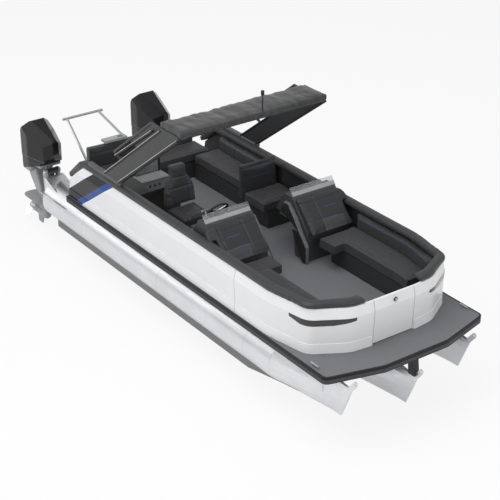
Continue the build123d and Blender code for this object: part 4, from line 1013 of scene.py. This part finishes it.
class BOAT_OT_bow_seats(bpy.types.Operator):
    """Upholster the bow: seat cushions, side pads and slanted backs"""

    bl_idname = "boat.bow_seats"
    bl_label = "Bow seating"

    def execute(self, context):
        look = context.scene.boat_soft
        pads = [Pad(kind, *side) for side in SIDES for kind in ("bow_seat", "bow_back")]
        sides = Pad("bow_side_pads")
        swell(pads + [sides], look)
        plain = vinyl("bow_seat_vinyl", look.vinyl)
        for pad in pads:
            if pad.kind == "bow_back":
                # The darker vinyl of the bow backs is painted shade.
                pad.finish(vinyl(f"{pad.node}_vinyl", look.back, look, pad.kind, pad.side))
            else:
                pad.finish(plain)
        sides.finish(vinyl("bow_side_vinyl", look.vinyl, look, sides.kind))
        return {"FINISHED"}


class BOAT_OT_cockpit_seats(bpy.types.Operator):
    """Upholster the cockpit: companion, side and stern seats"""

    bl_idname = "boat.cockpit_seats"
    bl_label = "Cockpit seating"

    def execute(self, context):
        look = context.scene.boat_soft
        pads = [Pad(kind) for kind in COCKPIT_PADS]
        swell(pads, look)
        plain = vinyl("cockpit_vinyl", look.vinyl)
        lined = {
            # The darker vinyl of the companion back is painted shade.
            "companion_back": vinyl("companion_back_vinyl", look.back, look, "companion_back"),
            "side_back": vinyl("side_back_vinyl", look.vinyl, look, "side_back"),
        }
        for pad in pads:
            pad.finish(lined.get(pad.kind, plain))
        return {"FINISHED"}


class BOAT_OT_captain_chair(bpy.types.Operator):
    """Upholster the captain's chair"""

    bl_idname = "boat.captain_chair"
    bl_label = "Captain's chair"

    def execute(self, context):
        look = context.scene.boat_soft
        seat, back = Pad("chair_seat"), Pad("chair_back")
        swell([seat, back], look)
        points = coords(back.obj.data)
        full = look.chair_wide * np.interp(points[:, 2], CHAIR_FULL_Z, CHAIR_FULL)
        points[:, 1] = CHAIR_Y + (points[:, 1] - CHAIR_Y) * full
        points[:, 2] = CHAIR_SEAT_Z + (points[:, 2] - CHAIR_SEAT_Z) * look.chair_tall
        set_coords(back.obj.data, points)
        skin = vinyl("chair_vinyl", look.vinyl, look, "chair")
        for pad in (seat, back):
            pad.finish(skin, "chair")
        return {"FINISHED"}


class BOAT_OT_bolsters(bpy.types.Operator):
    """Upholster the padded tops of the fence"""

    bl_idname = "boat.bolsters"
    bl_label = "Padded fence tops"

    def execute(self, context):
        look = context.scene.boat_soft
        pads = [Pad("bolster", *side) for side in SIDES]
        swell(pads, look)
        skin = vinyl("bolster_vinyl", look.vinyl)
        for pad in pads:
            pad.finish(skin)
        return {"FINISHED"}


class BOAT_OT_canopy(bpy.types.Operator):
    """Drape the stowed canopy in its cover"""

    bl_idname = "boat.canopy"
    bl_label = "Canopy cover"

    def execute(self, context):
        look = context.scene.boat_soft
        cover = Pad("canopy")
        swell([cover], look)
        for fold in FOLDS:
            cover.wrinkle(*fold)
        cover.finish(woven_canvas(look.canvas), slot="canvas")
        return {"FINISHED"}


class BOAT_OT_fence_lining(bpy.types.Operator):
    """Line the inner side of the fence"""

    bl_idname = "boat.fence_lining"
    bl_label = "Fence lining"

    def execute(self, context):
        look = context.scene.boat_hull
        skin = moulded_plastic("lining_moulding", context.scene.boat_soft.vinyl, 0.6)
        for name, side in SIDES:
            bm = node_mesh(f"fence_{name}")
            end = (0, side * LINING_END_Y, 0)
            bmesh.ops.bisect_plane(
                bm, geom=whole(bm), plane_co=end, plane_no=(0, side, 0), clear_inner=True
            )
            outer = []
            for face in bm.faces:
                middle = face.calc_center_median()
                inward = Vector((min(FENCE_BEND_X - middle.x, 0.0), -middle.y, 0.0)).normalized()
                if face.normal.dot(inward) < LINING_TURN:
                    outer.append(face)
            bmesh.ops.delete(bm, geom=outer, context="FACES")
            lining = object_from(bm, f"fence_lining_{name}", smooth=False)
            wall = lining.modifiers.new("Thickness", "SOLIDIFY")
            wall.thickness = look.lining
            wall.offset = 1.0
            settle(lining, "hull", skin)
        return {"FINISHED"}


class BOAT_OT_consoles(bpy.types.Operator):
    """Upholster the console sides, and fit the mesh inlays, screen rails, helm dash and wheel trim"""

    bl_idname = "boat.consoles"
    bl_label = "Consoles and helm"

    def execute(self, context):
        self.side_pads(context.scene.boat_soft)
        self.screen_rails()
        self.dash()
        self.wheel()
        return {"FINISHED"}

    def waisted_pads(self):
        """Copy the console side pads, with the aft foot of each cut back to a slant."""
        bm = node_mesh("console_side_pads")
        bmesh.ops.bisect_plane(bm, geom=whole(bm), plane_co=PAD_WAIST, plane_no=(0, 0, 1))
        below = [f for f in bm.faces if f.calc_center_median().z < PAD_WAIST[2]]
        part = below + list({e for f in below for e in f.edges}) + list({v for f in below for v in f.verts})
        bmesh.ops.bisect_plane(bm, geom=part, plane_co=PAD_WAIST, plane_no=PAD_SLANT, clear_outer=True)
        bmesh.ops.holes_fill(bm, edges=[e for e in bm.edges if e.is_boundary])
        bmesh.ops.recalc_face_normals(bm, faces=bm.faces)
        return bm

    def side_pads(self, look):
        pads = Pad("console_side_pads", cut=self.waisted_pads())
        swell([pads], look)
        pads.finish(vinyl("side_pad_vinyl", look.rim))
        bm = self.waisted_pads()
        hidden = [f for f in bm.faces if f.normal.y * f.calc_center_median().y > -INLAY_TURN]
        bmesh.ops.delete(bm, geom=hidden, context="FACES")
        for half in (1, -1):
            flat = [f for f in bm.faces if f.calc_center_median().y * half > 0]
            bmesh.ops.dissolve_faces(bm, faces=flat)
        rim = bmesh.ops.inset_region(
            bm, faces=bm.faces, thickness=look.inlay, use_even_offset=True, use_boundary=True
        )["faces"]
        bmesh.ops.delete(bm, geom=rim, context="FACES")
        for vert in bm.verts:
            vert.co.y -= math.copysign(INLAY_PROUD, vert.co.y)
        for face in bm.faces[:]:
            add_plate(bm, [face], (0, math.copysign(INLAY_DEEP, face.calc_center_median().y), 0))
        finished(bm, "console_side_inlays", "hull", open_mesh((0.009, 0.009, 0.010)))

    def screen_rails(self):
        rails = [mirrored(rail, side) for name, side in SIDES for rail in SCREEN_RAILS]
        grey = moulded_plastic("screen_rail", (0.36, 0.365, 0.37), 0.4)
        finished(built(rails, (), leaning(*SCREEN_FACE)), "console_screen_rails", "hull", grey)

    def dash(self):
        face = leaning(*DASH_FACE)
        bm = built((DISPLAY, SWITCH_PANEL), GAUGE_BEZELS, face)
        finished(bm, "helm_instruments", "hull", moulded_plastic("bezel", BLACK, 0.4))
        bm = built((DISPLAY_GLASS,), GAUGE_GLASSES, face)
        glass = gloss_paint("display_glass", (0.012, 0.016, 0.024), 0.06)
        finished(bm, "helm_glass", "hull", glass)
        bm = built((THROTTLE_BASE,), THROTTLE, bm=built(SWITCHES, (), face))
        metal = plain_metal("control_metal", (0.30, 0.30, 0.31), 0.25)
        finished(bm, "helm_controls", "hull", metal)

    def wheel(self):
        out, across = Vector(WHEEL_OUT), Vector((0, 1, 0))
        turn = Matrix((across, out.cross(across), out)).transposed().to_4x4()
        place = Matrix.Translation(Vector(WHEEL_FOOT) + out * WHEEL_STANDOFF) @ turn
        bm = built((), (WHEEL_CAP,), place)
        for angle in SPOKE_ANGLES:
            spoke = place @ Matrix.Rotation(math.radians(angle), 4, "Z")
            built([mirrored(SPOKE_TRIM, edge) for edge in (-1, 1)], (), spoke, bm)
        trim = plain_metal("wheel_bright", (0.80, 0.81, 0.82), 0.12, 1.0)
        finished(bm, "wheel_trim", "steering_wheel", trim)


class BOAT_OT_counter(bpy.types.Operator):
    """Fit the counter: its pale lid, knobs and glass frame"""

    bl_idname = "boat.counter"
    bl_label = "Counter"

    def execute(self, context):
        pale = moulded_plastic("lid_moulding", (0.20, 0.205, 0.21), 0.4)
        finished(built(LID), "counter_lid", "hull", pale)
        bm = built(HOB_AND_RAILS, KNOBS_AND_POST)
        finished(bm, "counter_fittings", "hull", satin_paint("fitting_black", BLACK))
        return {"FINISHED"}


class BOAT_OT_arch_trim(bpy.types.Operator):
    """Run tubes and painted highlight lines along the legs of the arch, and cap their feet"""

    bl_idname = "boat.arch_trim"
    bl_label = "Arch trim"

    def execute(self, context):
        black = satin_paint("arch_tube", (0.006, 0.006, 0.007), 0.5)
        bright = plain_metal("arch_highlight_metal", BRIGHT, 0.2)
        cast = satin_paint("arch_foot", (0.085, 0.087, 0.091), 0.4)
        tubes, lines, feet = bmesh.new(), bmesh.new(), bmesh.new()
        for name, side in SIDES:
            for (x0, z0), (x1, z1), radius in ARCH_TUBES:
                for y in (ARCH_INNER_Y, ARCH_OUTER_Y):
                    add_bar(tubes, (x0, side * y, z0), (x1, side * y, z1), radius, segments=12)
                # Painted highlight: a thin bright bar along the outer tube.
                rise = radius * HIGHLIGHT_LINE_RISE
                y = side * (ARCH_OUTER_Y + radius * HIGHLIGHT_LINE_OUT)
                foot, head = (x0 - rise, y, z0 + rise), (x1 - rise, y, z1 + rise)
                add_bar(lines, foot, head, HIGHLIGHT_LINE_RADIUS, segments=8)
            add_block(feet, *mirrored(ARCH_FOOT, side))
            face, tip = ((FOOT_BOLT_X, side * y, FOOT_BOLT_Z) for y in FOOT_BOLT_Y)
            add_bar(feet, face, tip, 0.020, 0.016)
        finished(tubes, "arch_tubes", "hull", black)
        finished(lines, "arch_painted_highlights", "hull", bright)
        finished(feet, "arch_feet", "hull", cast)
        return {"FINISHED"}


class BOAT_OT_gate_latch(bpy.types.Operator):
    """Fit the gate's latch: a dark collar, a bright cup and a finger bar"""

    bl_idname = "boat.gate_latch"
    bl_label = "Gate latch"

    def execute(self, context):
        bm = built((), (LATCH_COLLAR,))
        finished(bm, "gate_latch_collar", "gate", satin_paint("latch_black", BLACK))
        bright = plain_metal("latch_bright", BRIGHT, 0.2, 1.0)
        finished(built((LATCH_BAR,), (LATCH_CUP,)), "gate_latch_cup", "gate", bright)
        return {"FINISHED"}


class BOAT_OT_engine_fittings(bpy.types.Operator):
    """Fit the clamp bolts and steering rams of the engines, and the treads of the platform"""

    bl_idname = "boat.engine_fittings"
    bl_label = "Engine fittings"

    def execute(self, context):
        bright = plain_metal("bolt_steel", STEEL, 0.25, 1.0)
        black = satin_paint("ram_black", (0.010, 0.010, 0.011))
        for name, side in SIDES:
            y = side * ENGINE_Y
            finished(self.clamp_bolts(y), f"clamp_bolts_{name}", "hull", bright)
            finished(self.ram(y), f"steering_ram_{name}", f"tilt_{name}", black)
        tread = moulded_plastic("tread", (0.060, 0.061, 0.064), 0.8)
        finished(built(TREADS), "platform_treads", "hull", tread)
        return {"FINISHED"}

    def clamp_bolts(self, y):
        bm = bmesh.new()
        for end in (-1, 1):
            face = y + end * CHEEK_Y
            tip = face + end * BOLT_TALL
            for x, z, radius, tip_radius, segments in CLAMP_BOLTS:
                add_bar(bm, (x, face, z), (x, tip, z), radius, tip_radius, segments)
        return bm

    def ram(self, y):
        x, z = RAM_X, RAM_Z
        bm = bmesh.new()
        add_bar(bm, (x, y - RAM_HALF, z), (x, y + RAM_HALF, z), RAM_RADIUS, segments=20)
        for end in (-1, 1):
            start, stop = ((x, y + end * reach, z) for reach in RAM_COLLAR)
            add_bar(bm, start, stop, RAM_COLLAR_RADIUS, segments=20)
            foot = y + end * RAM_FOOT_Y
            low = (x - 0.034, foot - RAM_FOOT_HALF, z - 0.016)
            add_block(bm, low, (x, foot + RAM_FOOT_HALF, z + 0.008), 0.003)
        return bm


class BOAT_PT_sidebar(bpy.types.Panel):
    """Lists the steps and the values that they use"""

    bl_idname = "BOAT_PT_sidebar"
    bl_label = "Pontoon Boat"
    bl_space_type = "VIEW_3D"
    bl_region_type = "UI"
    bl_category = "Pontoon Boat"

    def draw(self, context):
        layout = self.layout
        for step in STEPS:
            layout.operator(step.bl_idname)
        for name in GROUPS:
            group = getattr(context.scene, name)
            box = layout.box()
            for key in group.__annotations__:
                box.prop(group, key)


GROUPS = {
    "boat_hull": HullFinish,
    "boat_soft": SoftFinish,
    "boat_engine": EngineFinish,
    "boat_studio": StudioSetup,
}
STEPS = (
    BOAT_OT_stage,
    BOAT_OT_finishes,
    BOAT_OT_bow_seats,
    BOAT_OT_cockpit_seats,
    BOAT_OT_captain_chair,
    BOAT_OT_bolsters,
    BOAT_OT_canopy,
    BOAT_OT_fence_lining,
    BOAT_OT_consoles,
    BOAT_OT_counter,
    BOAT_OT_arch_trim,
    BOAT_OT_gate_latch,
    BOAT_OT_engine_fittings,
)


def register():
    for name, group in GROUPS.items():
        bpy.utils.register_class(group)
        setattr(bpy.types.Scene, name, PointerProperty(type=group))
    for step in STEPS:
        bpy.utils.register_class(step)
    bpy.utils.register_class(BOAT_PT_sidebar)


def unregister():
    bpy.utils.unregister_class(BOAT_PT_sidebar)
    for step in reversed(STEPS):
        bpy.utils.unregister_class(step)
    for name, group in GROUPS.items():
        delattr(bpy.types.Scene, name)
        bpy.utils.unregister_class(group)


def main():
    register()
    for step in STEPS:
        group, name = step.bl_idname.split(".")
        getattr(getattr(bpy.ops, group), name)()


if __name__ == "__main__":
    main()
